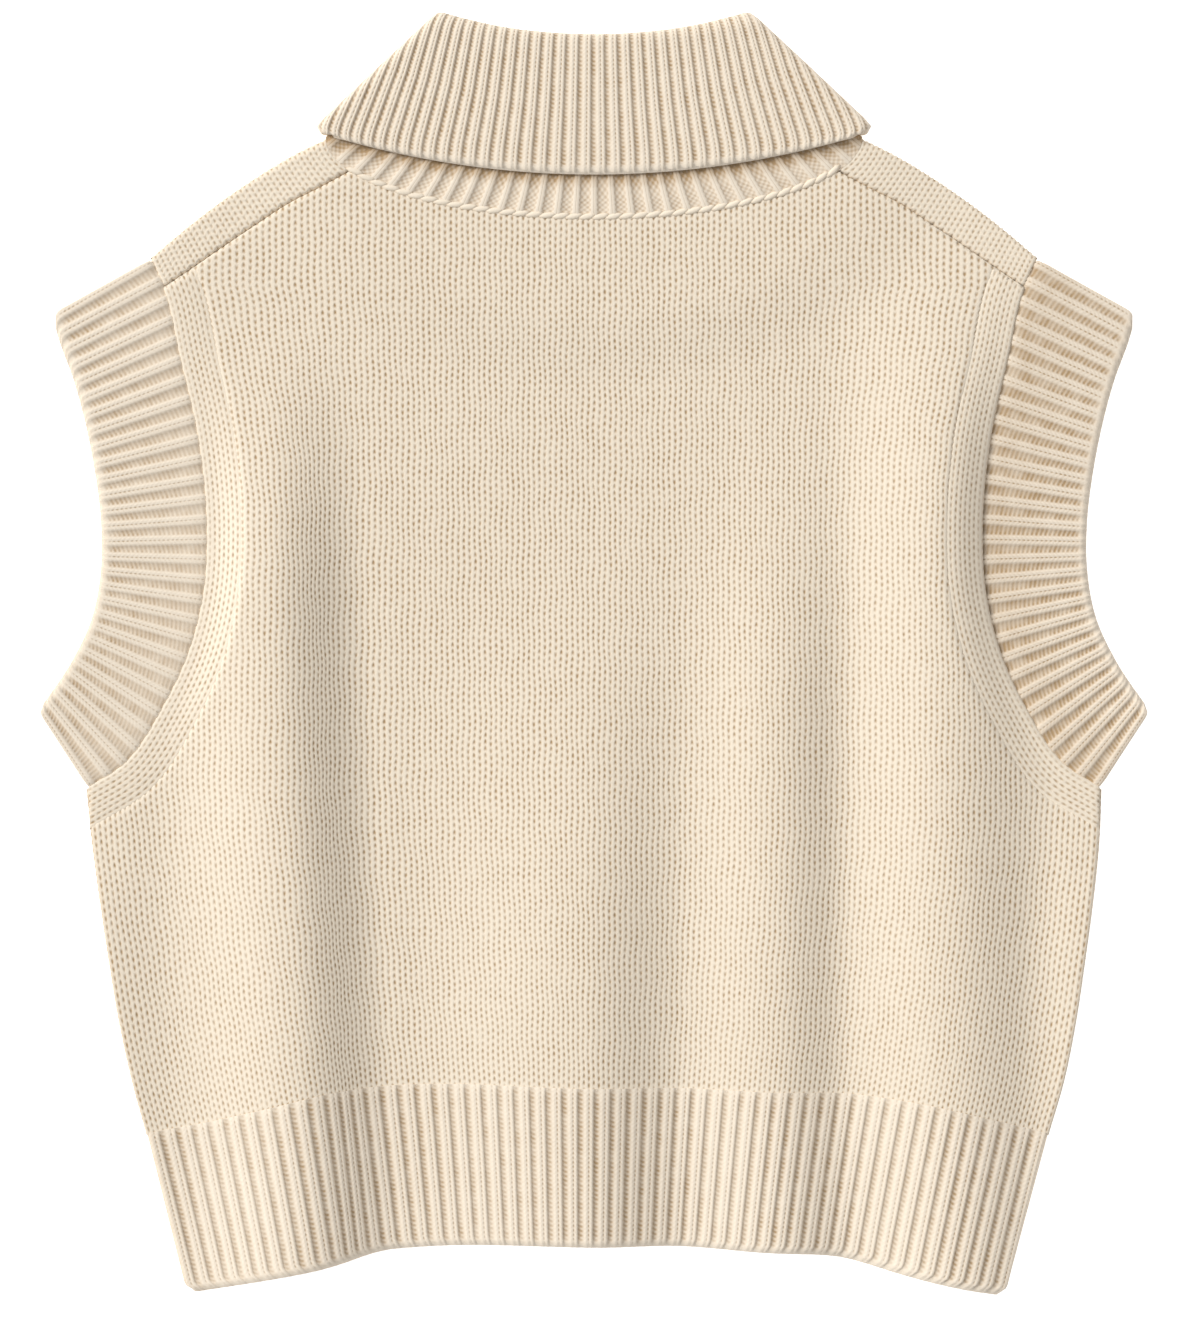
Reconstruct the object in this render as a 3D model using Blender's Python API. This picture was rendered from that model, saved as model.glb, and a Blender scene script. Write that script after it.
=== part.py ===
"""A sleeveless ribbed and plain-knit pullover, laid flat on its front with its back side up.

+X is to the right as seen from above, +Y runs towards the collar and +Z is up from the surface
that the garment lies on.  All sizes below are in millimetres and are turned into metres where a
mesh is made.  Each knitted piece is a wall of cloth: a ribbed or plain outer face over a plain
inner face.  The front lies face down on the surface, and the back lies on it in soft folds.
"""

import math
from collections import namedtuple

import bmesh
import bpy
import numpy as np

MM = 0.001  # one millimetre in metres

# Cloth
WALL = 2.4  # thickness of the plain knit
RIB_GUTTER = 2.0  # thickness of the rib knit in the gutters between its ribs
RIB_RISE = 1.4  # height of a rib above its gutters
SEAM_GAP = 0.4  # space left along each seam
LAYER = WALL + 0.3  # step from one layer of cloth to the next
FOLD_HEIGHT = WALL + LAYER  # height of a single fold, two layers thick

# The neck
NECK_HALF = 132.5  # half the width of the neckline
NECK_TOP = 257.3  # where the neckline meets the shoulder fold
NECK_BACK_DEPTH = 40.3
NECK_FRONT_DEPTH = 86.8
NECK_CORNER = 121.0  # where the shoulder seam of the back meets the neckline
COLLAR_LIFT = 2.7  # how far the collar's front layers lift what lies on them
LIFT_START = 45.0  # distance outside the front neckline where that lift begins
LIFT_REACH = 45.0  # and the distance over which it grows
NECK_REACH = 100.0  # mean half width and depth of the front neckline

# Ribs
HEM_RIBS = 56
ARMHOLE_RIBS = 28
FALL_RIBS = 34
FALL_PITCH = 7.9  # from rib to rib along the collar's lower edge
TOP_PITCH = 6.7  # and along the fold at its top
STAND_RIBS = 28
STAND_PITCH = 9.0
RIB_SHOULDERS = (0.28, 0.72)  # where a rib's crest begins and ends, between two gutters

Spot = namedtuple("Spot", "x y")
Level = namedtuple("Level", "y left right")
Ridge = namedtuple("Ridge", "x_top x_foot y_top y_full height left right")
Ring = namedtuple("Ring", "half side back front square under z_back z_front ribs pitch rise climb",
                  defaults=(0.0,))

# Right armhole seam, from the shoulder fold down to the underarm; the left one is its mirror
ARMHOLE_SEAM = (
    Spot(222.0, 197.8), Spot(214.7, 183.0), Spot(206.0, 147.3), Spot(197.0, 107.3),
    Spot(192.8, 60.0), Spot(194.0, 34.3), Spot(203.3, -3.0), Spot(214.0, -25.3),
    Spot(235.5, -56.3), Spot(253.5, -67.5),
)
# Outer edge of the right armhole rib, from the same fold to the same underarm
ARMHOLE_EDGE = (
    Spot(271.0, 170.5), Spot(267.3, 156.8), Spot(260.0, 136.8), Spot(254.5, 116.8),
    Spot(249.5, 92.0), Spot(246.3, 66.0), Spot(246.3, 42.0), Spot(251.0, 17.0),
    Spot(260.5, -3.3), Spot(278.0, -29.3),
)
# Shoulder fold, where the front turns over onto the back, from the neck to the armhole
SHOULDER_FOLD = (
    Spot(132.85, 257.3), Spot(147.0, 250.8), Spot(167.0, 239.3), Spot(187.0, 225.8),
    Spot(207.0, 210.3), Spot(221.6, 197.8),
)
# Shoulder seam, where that turned-over strip is sewn to the back
SHOULDER_SEAM = (
    Spot(121.0, 240.9), Spot(136.3, 232.6), Spot(152.3, 224.6), Spot(168.2, 214.5),
    Spot(184.2, 203.8), Spot(200.1, 192.8), Spot(214.7, 183.0),
)
# Side edges of the body, from the top of the hem rib up to the underarm
BODY_SIDE = (
    Level(-240.8, -223.5, 227.0), Level(-213.3, -231.0, 235.0), Level(-183.3, -237.5, 241.0),
    Level(-153.3, -242.5, 245.5), Level(-123.3, -247.0, 249.5), Level(-93.3, -251.0, 252.5),
    Level(-67.5, -253.5, 253.5),
)
# Line where the hem rib begins, and the hem's lower edge, from left to right
HEM_TOP = (
    Spot(-223.5, -240.8), Spot(-197.0, -235.8), Spot(-167.0, -228.3), Spot(-132.0, -219.8),
    Spot(-107.0, -217.3), Spot(3.0, -217.3), Spot(83.0, -219.3), Spot(133.0, -221.3),
    Spot(168.0, -225.8), Spot(203.0, -234.3), Spot(227.0, -240.8),
)
HEM_EDGE = (
    Spot(-203.5, -319.5), Spot(-187.0, -316.3), Spot(-157.0, -309.8), Spot(-127.0, -303.3),
    Spot(-107.0, -298.3), Spot(-87.0, -296.3), Spot(23.0, -295.3), Spot(73.0, -297.3),
    Spot(123.0, -301.3), Spot(153.0, -308.8), Spot(183.0, -315.3), Spot(205.5, -319.5),
)
HEM_CORNER = 4.0  # how far the hem's two lower corners are rounded in
HEM_CORNER_ROW = 0.94

# Soft ridges of the back: the crest runs from x_top at y_top to x_foot at the hem, reaches its
# full height at y_full, and falls away over the two widths
RIDGES = (
    Ridge(-164.0, -143.0, 175.0, 20.0, 11.5, 58.0, 34.0),
    Ridge(-4.0, -4.0, 80.0, -190.0, 6.0, 84.0, 46.0),
    Ridge(100.0, 97.0, 130.0, -60.0, 6.0, 46.0, 31.0),
    Ridge(166.0, 174.0, 190.0, 60.0, 9.0, 40.0, 40.0),
    Ridge(246.0, 240.0, -75.0, -150.0, 3.5, 32.0, 30.0),
    Ridge(-252.0, -240.0, -60.0, -150.0, 3.0, 30.0, 34.0),
)
RIDGE_FOOT = -320.0

# The collar is one rib tube, sewn to the neckline, standing up and turned down over itself.
# Each ring runs once round it: across the back, over the side fold and back across the front.
# half: half its width; side, back and front: its Y at the side folds and at the two middles;
# square and under: 0.5 for an elliptic sweep of the back and of the front, 1 for a parabolic one
# climb: how much higher the front part lies at the side folds than in its middle
COLLAR = (
    Ring(132.1, 257.3, 217.4, 171.3, 0.50, 0.50, 7.4, 0.0, STAND_RIBS, STAND_PITCH, 0.8, 2.7),
    Ring(126.0, 263.3, 226.4, 180.0, 0.58, 0.62, 7.4, 2.7, STAND_RIBS, 8.7, 0.8),
    Ring(114.4, 274.2, 243.0, 196.0, 0.70, 0.80, 7.4, 2.7, STAND_RIBS, 8.2, 0.8),
    Ring(98.6, 288.6, 262.0, 216.0, 0.85, 1.20, 7.4, 2.7, 0, 0, 0),
    Ring(73.0, 312.0, 303.0, 256.5, 1.00, 1.50, 7.3, 2.9, 0, 0, 0),
    Ring(72.2, 312.8, 303.8, 257.3, 1.00, 1.50, 7.7, 2.4, 0, 0, 0),
    Ring(73.6, 312.2, 303.0, 256.5, 1.00, 1.50, 8.2, 1.9, 0, 0, 0),
    Ring(135.6, 259.2, 238.1, 192.0, 1.00, 1.50, 9.5, 1.9, 0, 0, 0),
    Ring(137.6, 258.6, 237.5, 191.2, 1.00, 1.50, 10.6, 1.2, FALL_RIBS, FALL_PITCH, 0.0),
    Ring(137.9, 260.2, 239.4, 192.9, 1.00, 1.50, 11.4, 0.0, FALL_RIBS, FALL_PITCH, 0.8),
    Ring(134.3, 263.8, 243.4, 196.5, 1.00, 1.50, 11.2, 0.0, FALL_RIBS, 7.8, 1.4),
    Ring(109.0, 288.0, 273.0, 226.0, 1.00, 1.50, 10.6, 0.0, FALL_RIBS, 7.3, 1.4),
    Ring(80.0, 316.0, 305.1, 258.7, 1.00, 1.50, 10.1, 0.0, FALL_RIBS, TOP_PITCH, 1.4),
    Ring(77.3, 318.4, 307.6, 261.2, 1.00, 1.50, 9.3, 0.6, FALL_RIBS, TOP_PITCH, 1.2),
    Ring(75.6, 319.1, 308.3, 261.9, 1.00, 1.50, 7.9, 2.6, FALL_RIBS, TOP_PITCH, 0.4),
    Ring(74.2, 318.0, 307.2, 260.8, 1.00, 1.50, 6.4, 4.3, FALL_RIBS, TOP_PITCH, 0.0),
    Ring(69.4, 309.8, 302.0, 255.5, 1.00, 1.50, 5.4, 5.1, 0, 0, 0),
    Ring(96.4, 285.8, 262.0, 216.0, 0.85, 1.20, 5.4, 5.1, 0, 0, 0),
    Ring(112.0, 271.6, 243.0, 196.0, 0.70, 0.80, 5.4, 5.1, 0, 0, 0),
    Ring(123.7, 261.4, 226.4, 180.0, 0.58, 0.62, 5.4, 5.1, 0, 0, 0),
    Ring(130.0, 257.3, 217.4, 171.3, 0.50, 0.50, 5.4, 2.4, 0, 0, 0, 2.7),
)
PLAIN_BACK_PARTS = 34  # steps across the back of a plain ring
FRONT_PARTS = 24  # and across the front of every ring
SIDE_TURNS = 5  # steps round each side fold
CROWDING = 2.5  # how late the ribs begin to crowd towards the side folds
RIB_FADE = 0.14  # share of the half width over which the ribs flatten towards a side fold

YARN = (0.80, 0.70, 0.55, 1.0)


# ------------------------------------------------------------------ curves and heights

def smooth_line(points, samples=160):
    """Points at even lengths along a smooth line through the given ones."""
    given = np.array([(p.x, p.y) for p in points], dtype=float)
    reach = np.concatenate(([0.0], np.cumsum(np.hypot(*np.diff(given, axis=0).T))))
    slope = np.gradient(given, reach, axis=0)
    at = np.linspace(0.0, reach[-1], samples)
    piece = np.clip(np.searchsorted(reach, at, side="right") - 1, 0, len(reach) - 2)
    span = (reach[piece + 1] - reach[piece])[:, None]
    f = (at[:, None] - reach[piece][:, None]) / span
    line = ((2 * f**3 - 3 * f**2 + 1) * given[piece] + (f**3 - 2 * f**2 + f) * span * slope[piece]
            + (3 * f**2 - 2 * f**3) * given[piece + 1] + (f**3 - f**2) * span * slope[piece + 1])
    return line


def along(line, t):
    """The point at share t of a smooth line."""
    ticks = np.linspace(0.0, 1.0, len(line))
    return float(np.interp(t, ticks, line[:, 0])), float(np.interp(t, ticks, line[:, 1]))


def height_over(line, x):
    """The line's Y above a given X."""
    return float(np.interp(x, line[:, 0], line[:, 1]))


def ease(f):
    """0 below 0, 1 above 1, and a smooth rise between."""
    f = min(max(f, 0.0), 1.0)
    return f * f * (3.0 - 2.0 * f)


def mix(a, b, f):
    return a + (b - a) * f


def neck_lift(x, y):
    """How much the collar's front layers raise the cloth that lies on them."""
    drop = max(NECK_TOP - y, 0.0) / NECK_FRONT_DEPTH
    outside = (math.hypot(x / NECK_HALF, drop) - 1.0) * NECK_REACH
    return COLLAR_LIFT * ease((LIFT_START - outside) / LIFT_REACH)


def ridge_height(x, y):
    """Height of the soft folds of the back at one place."""
    total = 0.0
    for r in RIDGES:
        run = (r.y_top - y) / (r.y_top - RIDGE_FOOT)
        if run <= 0.0:
            continue
        off = x - mix(r.x_top, r.x_foot, run)
        width = r.left if off < 0.0 else r.right
        if abs(off) < width:
            swell = 0.5 + 0.5 * math.cos(math.pi * off / width)
            total += r.height * swell * ease((r.y_top - y) / (r.y_top - r.y_full))
    return total


def back_floor(x, y):
    """Underside of the back layer."""
    return LAYER + neck_lift(x, y) + ridge_height(x, y)


SEAM_LINE = smooth_line(ARMHOLE_SEAM)
EDGE_LINE = smooth_line(ARMHOLE_EDGE)
FOLD_LINE = smooth_line(SHOULDER_FOLD)
SHOULDER_LINE = smooth_line(SHOULDER_SEAM)
HEM_TOP_LINE = smooth_line(HEM_TOP)
HEM_EDGE_LINE = smooth_line(HEM_EDGE)
LEFT_SIDE = smooth_line([Spot(level.left, level.y) for level in BODY_SIDE])
RIGHT_SIDE = smooth_line([Spot(level.right, level.y) for level in BODY_SIDE])


# ------------------------------------------------------------------ meshes

def yarn_material(name):
    material = bpy.data.materials.new(name)
    material.use_nodes = True
    shader = material.node_tree.nodes["Principled BSDF"]
    shader.inputs["Base Color"].default_value = YARN
    shader.inputs["Roughness"].default_value = 0.9
    shader.inputs["Metallic"].default_value = 0.0
    return material


def finish(name, bm):
    """Turn a closed bmesh in millimetres into a named object in metres."""
    bmesh.ops.recalc_face_normals(bm, faces=bm.faces)
    bmesh.ops.scale(bm, vec=(MM, MM, MM), verts=bm.verts)
    mesh = bpy.data.meshes.new(name)
    bm.to_mesh(mesh)
    bm.free()
    mesh.materials.append(yarn_material(name + "_yarn"))
    mesh.shade_smooth()
    mesh.set_sharp_from_angle(angle=math.radians(50))
    obj = bpy.data.objects.new(name, mesh)
    bpy.context.scene.collection.objects.link(obj)
    return obj


def add_row(bm, points):
    return [bm.verts.new(p) for p in points]


def add_strip(bm, a, b):
    """Join two rows of points, also when one has more points than the other."""
    if len(a) == len(b):
        for i in range(len(a) - 1):
            bm.faces.new((a[i], a[i + 1], b[i + 1], b[i]))
        return
    share_a, share_b = shares(a), shares(b)
    i = j = 0
    while i < len(a) - 1 or j < len(b) - 1:
        step_a = i < len(a) - 1 and (j == len(b) - 1 or share_a[i + 1] <= share_b[j + 1])
        if step_a:
            bm.faces.new((a[i], a[i + 1], b[j]))
            i += 1
        else:
            bm.faces.new((a[i], b[j + 1], b[j]))
            j += 1


def add_ring(bm, parts):
    """A closed ring made of several runs; each run ends at the first point of the next."""
    rows = [add_row(bm, points) for points in parts]
    return [row + [following[0]] for row, following in zip(rows, rows[1:] + rows[:1])]


def add_tube(name, rings):
    """A closed wall from rings that run round its outer face and back along its inner one."""
    bm = bmesh.new()
    made = [add_ring(bm, parts) for parts in rings]
    for ring, following in zip(made, made[1:] + made[:1]):
        for first, second in zip(ring, following):
            add_strip(bm, first, second)
    return finish(name, bm)


def shares(row):
    """How far along its row each point lies, from 0 to 1, seen from above."""
    steps = [math.dist(p.co.xy, q.co.xy) + 1e-9 for p, q in zip(row, row[1:])]
    total = sum(steps)
    return [sum(steps[:k]) / total for k in range(len(row))]


def wall_between(name, outer, inner):
    """A closed wall from the rows of its outer face and of its inner face."""
    bm = bmesh.new()
    out_rows = [add_row(bm, row) for row in outer]
    in_rows = [add_row(bm, row) for row in inner]
    for rows in (out_rows, in_rows):
        for first, second in zip(rows, rows[1:]):
            add_strip(bm, first, second)
    for end in (0, -1):
        add_strip(bm, out_rows[end], in_rows[end])
        add_strip(bm, [row[end] for row in out_rows], [row[end] for row in in_rows])
    return finish(name, bm)


def spread(first, last, parts):
    return [mix(first, last, k / parts) for k in range(parts + 1)]


def joined(*runs):
    """Several runs of values end to end, each starting where the last one stopped."""
    values = list(runs[0])
    for run in runs[1:]:
        values.extend(run[1:])
    return values


def rib_places(count):
    """(share, on_crest) for the gutters and rib shoulders across a stretch of ribs."""
    places = []
    for k in range(count):
        places.append((k / count, False))
        places.extend(((k + s) / count, True) for s in RIB_SHOULDERS)
    places.append((1.0, False))
    return places


# ------------------------------------------------------------------ back panel

BACK_TOP = 183.0  # the Y of the armhole end of the shoulder seam
SHOULDER_SHARE = 0.0565  # share of the armhole seam above the shoulder seam
YOKE_START = 70.0  # the Y above which the rows begin to follow the neckline and the shoulders
SIDE_ROWS = 6
ARMHOLE_ROWS = 18
NECK_COLUMNS = 22
SHOULDER_COLUMNS = 7
PANEL_EDGE = 2.2  # width of the rounding along the panel's edges
PANEL_EDGE_DROP = 0.9
LAST_ROW = 1.975  # where that rounding begins along the top


def panel_side(s, sign):
    """Side edge of a panel: s 0 at the hem, 1 at the underarm, 2 at the shoulder seam."""
    if s <= 1.0:
        return along(RIGHT_SIDE if sign > 0 else LEFT_SIDE, s)
    x, y = along(SEAM_LINE, mix(1.0, SHOULDER_SHARE, s - 1.0))
    return sign * x, y


def neck_y(x, depth):
    return NECK_TOP - depth * math.sqrt(max(1.0 - (x / NECK_HALF) ** 2, 0.0))


def back_top(x):
    """Upper edge of the back: neckline in the middle, shoulder seams outside it."""
    return min(neck_y(x, NECK_BACK_DEPTH), height_over(SHOULDER_LINE, abs(x)) - SEAM_GAP)


def back_place(u, s):
    """Place of a point of the back panel, seen from above."""
    x_left, y = panel_side(s, -1)
    x_right, _ = panel_side(s, 1)
    x = mix(x_left, x_right, 0.5 + 0.5 * u)
    x_low = mix(HEM_TOP[0].x, HEM_TOP[-1].x, 0.5 + 0.5 * u)
    x_high = ARMHOLE_SEAM[1].x * u
    low = height_over(HEM_TOP_LINE, x_low) - HEM_TOP[0].y + SEAM_GAP
    high = back_top(x_high) - BACK_TOP
    yoke = ease((y - YOKE_START) / (BACK_TOP - YOKE_START))
    return x, y + low * ease(1.0 - s) + high * yoke


def across_back():
    """Shares of the half width, closer together where the neckline turns."""
    corner = NECK_CORNER / ARMHOLE_SEAM[1].x
    turn = math.asin(NECK_CORNER / NECK_HALF)
    neck = [NECK_HALF * math.sin(a) / ARMHOLE_SEAM[1].x for a in spread(-turn, turn, NECK_COLUMNS)]
    rim = 1.0 - PANEL_EDGE / ARMHOLE_SEAM[1].x
    return joined([-1.0, -rim], spread(-rim, -corner, SHOULDER_COLUMNS), neck,
                  spread(corner, rim, SHOULDER_COLUMNS), [rim, 1.0])


def make_back_panel():
    # the rows lie closer together at both ends of the armhole
    curved = [1.0 + 0.5 * f + 0.25 * (1.0 - math.cos(math.pi * f))
              for f in spread(0.0, 1.0, ARMHOLE_ROWS)]
    rows = joined(spread(0.0, 1.0, SIDE_ROWS), curved)

    def face_row(s, outer):
        row = []
        for u in across_back():
            x, y = back_place(u, s)
            z = back_floor(x, y)
            if outer:
                z += WALL - (PANEL_EDGE_DROP if abs(u) == 1.0 or s == 2.0 else 0.0)
            row.append((x, y, z))
        return row

    outer = [face_row(s, True) for s in rows[:-1] + [LAST_ROW, 2.0]]
    inner = [face_row(s, False) for s in rows]
    return wall_between("back_panel", outer, inner)


# ------------------------------------------------------------------ hem rib

HEM_WALES = spread(0.0, 1.0, HEM_RIBS)
# how high the ribs stand, as a share of RIB_RISE, from the top of the rib to its edge
HEM_RISE = {0.0: 0.3, 0.07: 1.0, 0.5: 1.0, HEM_CORNER_ROW: 1.0, 1.0: -0.5}


def hem_place(u, v):
    """u 0 at the left side and 1 at the right, v 0 at the top of the rib and 1 at its edge."""
    corner = HEM_CORNER * ease((v - HEM_CORNER_ROW) / (1.0 - HEM_CORNER_ROW))
    x_top = mix(HEM_TOP[0].x, HEM_TOP[-1].x, u)
    x_low = mix(HEM_EDGE[0].x + corner, HEM_EDGE[-1].x - corner, u)
    y_top = height_over(HEM_TOP_LINE, x_top)
    y_low = height_over(HEM_EDGE_LINE, x_low)
    return mix(x_top, x_low, v), mix(y_top, y_low, v)


def make_hem_rib_back():
    outer = []
    for v, rise in HEM_RISE.items():
        row = []
        for u, crest in rib_places(HEM_RIBS):
            x, y = hem_place(u, v)
            lift = RIB_RISE * rise if crest or rise < 0.0 else 0.0
            row.append((x, y, back_floor(x, y) + RIB_GUTTER + lift))
        outer.append(row)
    inner = []
    for v in (0.0, 0.5, 1.0):
        places = [hem_place(u, v) for u in HEM_WALES]
        inner.append([(x, y, back_floor(x, y)) for x, y in places])
    return wall_between("hem_rib_back", outer, inner)


def make_hem_rib_front():
    faces = []
    for z in (0.0, WALL):
        faces.append([[(*hem_place(u, v), z) for u in HEM_WALES[::2]]
                      for v in (0.0, 0.5, HEM_CORNER_ROW, 1.0)])
    return wall_between("hem_rib_front", *faces)


# ------------------------------------------------------------------ front panel

FOLD_TURNS = 4  # steps round the shoulder fold
FLAP_ROWS = 3
SHOULDER_PARTS = 8
NECK_PARTS = 20
ARMHOLE_PARTS = 22
FRONT_NECK_GAP = 0.8
FLAP_START = 0.12  # share of the turned-over strip that the rounding of the fold takes up
FLAP_FLAT = 0.3  # where the strip lies flat


def front_outline():
    """The flat part of the front, once round, and the places of its two shoulder folds."""
    hem = [hem_place(u, 0.0) for u in HEM_WALES[::2]]
    hem = [(x, y + SEAM_GAP) for x, y in hem]
    right = [along(RIGHT_SIDE, t) for t in spread(0.0, 1.0, SIDE_ROWS)][1:]
    right += [along(SEAM_LINE, t) for t in spread(1.0, 0.0, ARMHOLE_PARTS)][1:-1]
    shoulder = [along(FOLD_LINE, t) for t in spread(1.0, 0.0, SHOULDER_PARTS)]
    neck = []
    for turn in spread(0.5 * math.pi, -0.5 * math.pi, NECK_PARTS)[1:-1]:
        x = (NECK_HALF + FRONT_NECK_GAP) * math.sin(turn)
        neck.append((x, NECK_TOP - (NECK_FRONT_DEPTH + FRONT_NECK_GAP) * math.cos(turn)))
    left_shoulder = [(-x, y) for x, y in reversed(shoulder)]
    left = [(-x, y) for x, y in reversed(right[SIDE_ROWS:])]
    left += [along(LEFT_SIDE, t) for t in spread(1.0, 0.0, SIDE_ROWS)][:-1]
    return hem, right, shoulder, neck, left_shoulder, left


def flap_place(sign, k, w):
    """Point k along the shoulder, w 0 at the fold and 1 at the seam."""
    t = k / SHOULDER_PARTS
    x, y = mix(np.array(along(FOLD_LINE, t)), np.array(along(SHOULDER_LINE, t)), w)
    # beside the neck the strip's end follows the round neckline
    turn = mix(0.5 * math.pi, math.asin(NECK_CORNER / NECK_HALF), w)
    gap = SEAM_GAP * (1.0 - w)
    round_x = (NECK_HALF + gap) * math.sin(turn)
    round_y = NECK_TOP - (NECK_BACK_DEPTH + gap) * math.cos(turn)
    end_x, end_y = mix(FOLD_LINE[0], SHOULDER_LINE[0], w)
    near = (1.0 - t) ** 6
    return sign * (x + (round_x - end_x) * near), y + (round_y - end_y) * near


def flap_rows(sign, k):
    """Outer and inner points from the shoulder fold round onto the back."""
    x, y = flap_place(sign, k, 0.0)
    x_in, y_in = flap_place(sign, k, FLAP_START)
    length = math.hypot(x_in - x, y_in - y)
    inward = ((x_in - x) / length, (y_in - y) / length)
    top = FOLD_HEIGHT + neck_lift(x, y)
    radius = 0.5 * top
    outer, inner = [], []
    for step in range(1, FOLD_TURNS + 1):
        angle = math.pi * step / FOLD_TURNS
        bulge = radius * (1.0 - math.sin(angle))
        outer.append((x + inward[0] * bulge, y + inward[1] * bulge,
                      radius * (1.0 - math.cos(angle))))
        thin = radius - WALL
        bulge = radius - thin * math.sin(angle)
        inner.append((x + inward[0] * bulge, y + inward[1] * bulge,
                      radius - thin * math.cos(angle)))
    for w in spread(FLAP_FLAT, 1.0, FLAP_ROWS - 1):
        px, py = flap_place(sign, k, w)
        z = FOLD_HEIGHT + neck_lift(px, py)
        drop = PANEL_EDGE_DROP if w == 1.0 else 0.0
        outer.append((px, py, z - drop))
        inner.append((px, py, z - WALL))
    return outer, inner


def make_front_panel():
    """The front with its two shoulders turned over; each point has one twin on the inside."""
    bm = bmesh.new()
    hem, right, shoulder, neck, left_shoulder, left = front_outline()
    twins = {}

    def add_pair(low, high):
        vert = bm.verts.new(low)
        twins[vert] = bm.verts.new(high)
        return vert

    def shoulder_start(sign, k):
        """On the floor the fold starts half its height inside the outline."""
        x, y = flap_place(sign, k, 0.0)
        x_in, y_in = flap_place(sign, k, FLAP_START)
        length = math.hypot(x_in - x, y_in - y)
        back_off = 0.5 * (FOLD_HEIGHT + neck_lift(x, y)) / length
        return mix(x, x_in, back_off), mix(y, y_in, back_off)

    starts = {}
    for sign in (1, -1):
        order = range(SHOULDER_PARTS, -1, -1) if sign > 0 else range(SHOULDER_PARTS + 1)
        starts[sign] = [shoulder_start(sign, k) for k in order]
    loop_points = hem + right + starts[1] + neck + starts[-1] + left
    loop = [add_pair((x, y, 0.0), (x, y, WALL)) for x, y in loop_points]
    outer_faces = [bm.faces.new(loop)]
    first = len(hem) + len(right)
    for sign in (1, -1):
        begin = first if sign > 0 else first + SHOULDER_PARTS + 1 + len(neck)
        order = range(SHOULDER_PARTS, -1, -1) if sign > 0 else range(SHOULDER_PARTS + 1)
        columns = []
        for place, k in enumerate(order):
            outer, inner = flap_rows(sign, k)
            columns.append([loop[begin + place]] + [add_pair(*pair) for pair in zip(outer, inner)])
        for one, two in zip(columns, columns[1:]):
            for i in range(len(one) - 1):
                outer_faces.append(bm.faces.new((one[i], one[i + 1], two[i + 1], two[i])))
    rim = [edge for edge in bm.edges if len(edge.link_faces) == 1]
    for face in outer_faces:
        bm.faces.new([twins[v] for v in reversed(face.verts)])
    for edge in rim:
        a, b = edge.verts
        bm.faces.new((a, b, twins[b], twins[a]))
    bm.normal_update()
    bmesh.ops.triangulate(bm, faces=[f for f in bm.faces if len(f.verts) > 4])
    return finish("front_panel", bm)


# ------------------------------------------------------------------ armhole ribs

# how high the ribs stand, as a share of RIB_RISE, from the seam to the outer edge
BAND_RISE = {0.0: 0.2, 0.06: 1.0, 0.5: 1.0, 0.9: 1.0, 1.0: -0.5}
BAND_INNER_PARTS = 30
BAND_UNDER_PARTS = 22
BAND_TURNS = 4
SEAM_LENGTH = 296.0  # length of the armhole seam, and of the rib's outer edge
EDGE_LENGTH = 212.0


def band_place(t, w):
    """t 0 at the shoulder fold and 1 at the underarm, w 0 at the seam and 1 at the edge."""
    near = along(SEAM_LINE, t)
    far = along(EDGE_LINE, t)
    gap = SEAM_GAP / math.dist(near, far)
    share = mix(gap, 1.0, w)
    return mix(near[0], far[0], share), mix(near[1], far[1], share)


def band_ring(w, rise, inside):
    """One ring of a flattened rib tube: over the top layer, round the folds and back below."""
    bottom, top = (WALL, LAYER) if inside else (0.0, LAYER + RIB_GUTTER)
    radius = 0.5 * (top - bottom)
    middle = bottom + radius
    depth = RIB_GUTTER if inside else 0.0
    length = mix(SEAM_LENGTH, EDGE_LENGTH, w)
    first = (radius + depth) / length
    places = rib_places(ARMHOLE_RIBS)
    if inside:
        places = [(t, False) for t in spread(0.0, 1.0, BAND_INNER_PARTS)]
    over = []
    for share, crest in places:
        x, y = band_place(mix(first, 1.0 - first, share), w)
        lift = RIB_RISE * rise if crest or rise < 0.0 else 0.0
        over.append((x, y, top + lift))
    under = []
    for share in spread(1.0, 0.0, BAND_UNDER_PARTS):
        x, y = band_place(mix(first, 1.0 - first, share), w)
        under.append((x, y, bottom))
    foot = fold_points(w, 1.0, first, radius, middle, depth)
    head = fold_points(w, 0.0, first, radius, middle, depth)
    return [over, foot, under, head[::-1]]


def fold_points(w, end, first, radius, middle, depth):
    """Points round a side fold of the tube, from the top layer to the one below."""
    tip = band_place(end, w)
    start = band_place(abs(end - first), w)
    points = []
    for step in range(1, BAND_TURNS):
        angle = math.pi * step / BAND_TURNS
        reach = (depth + radius * (1.0 - math.sin(angle))) / (depth + radius)
        z = middle + radius * math.cos(angle)
        points.append((mix(tip[0], start[0], reach), mix(tip[1], start[1], reach), z))
    return points


def make_armhole_rib(name, sign):
    rings = [band_ring(w, rise, False) for w, rise in BAND_RISE.items()]
    rings += [band_ring(w, 0.0, True) for w in (1.0, 0.5, 0.0)]
    return add_tube(name, [[[(sign * x, y, z) for x, y, z in run] for run in ring] for ring in rings])


# ------------------------------------------------------------------ collar

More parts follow.
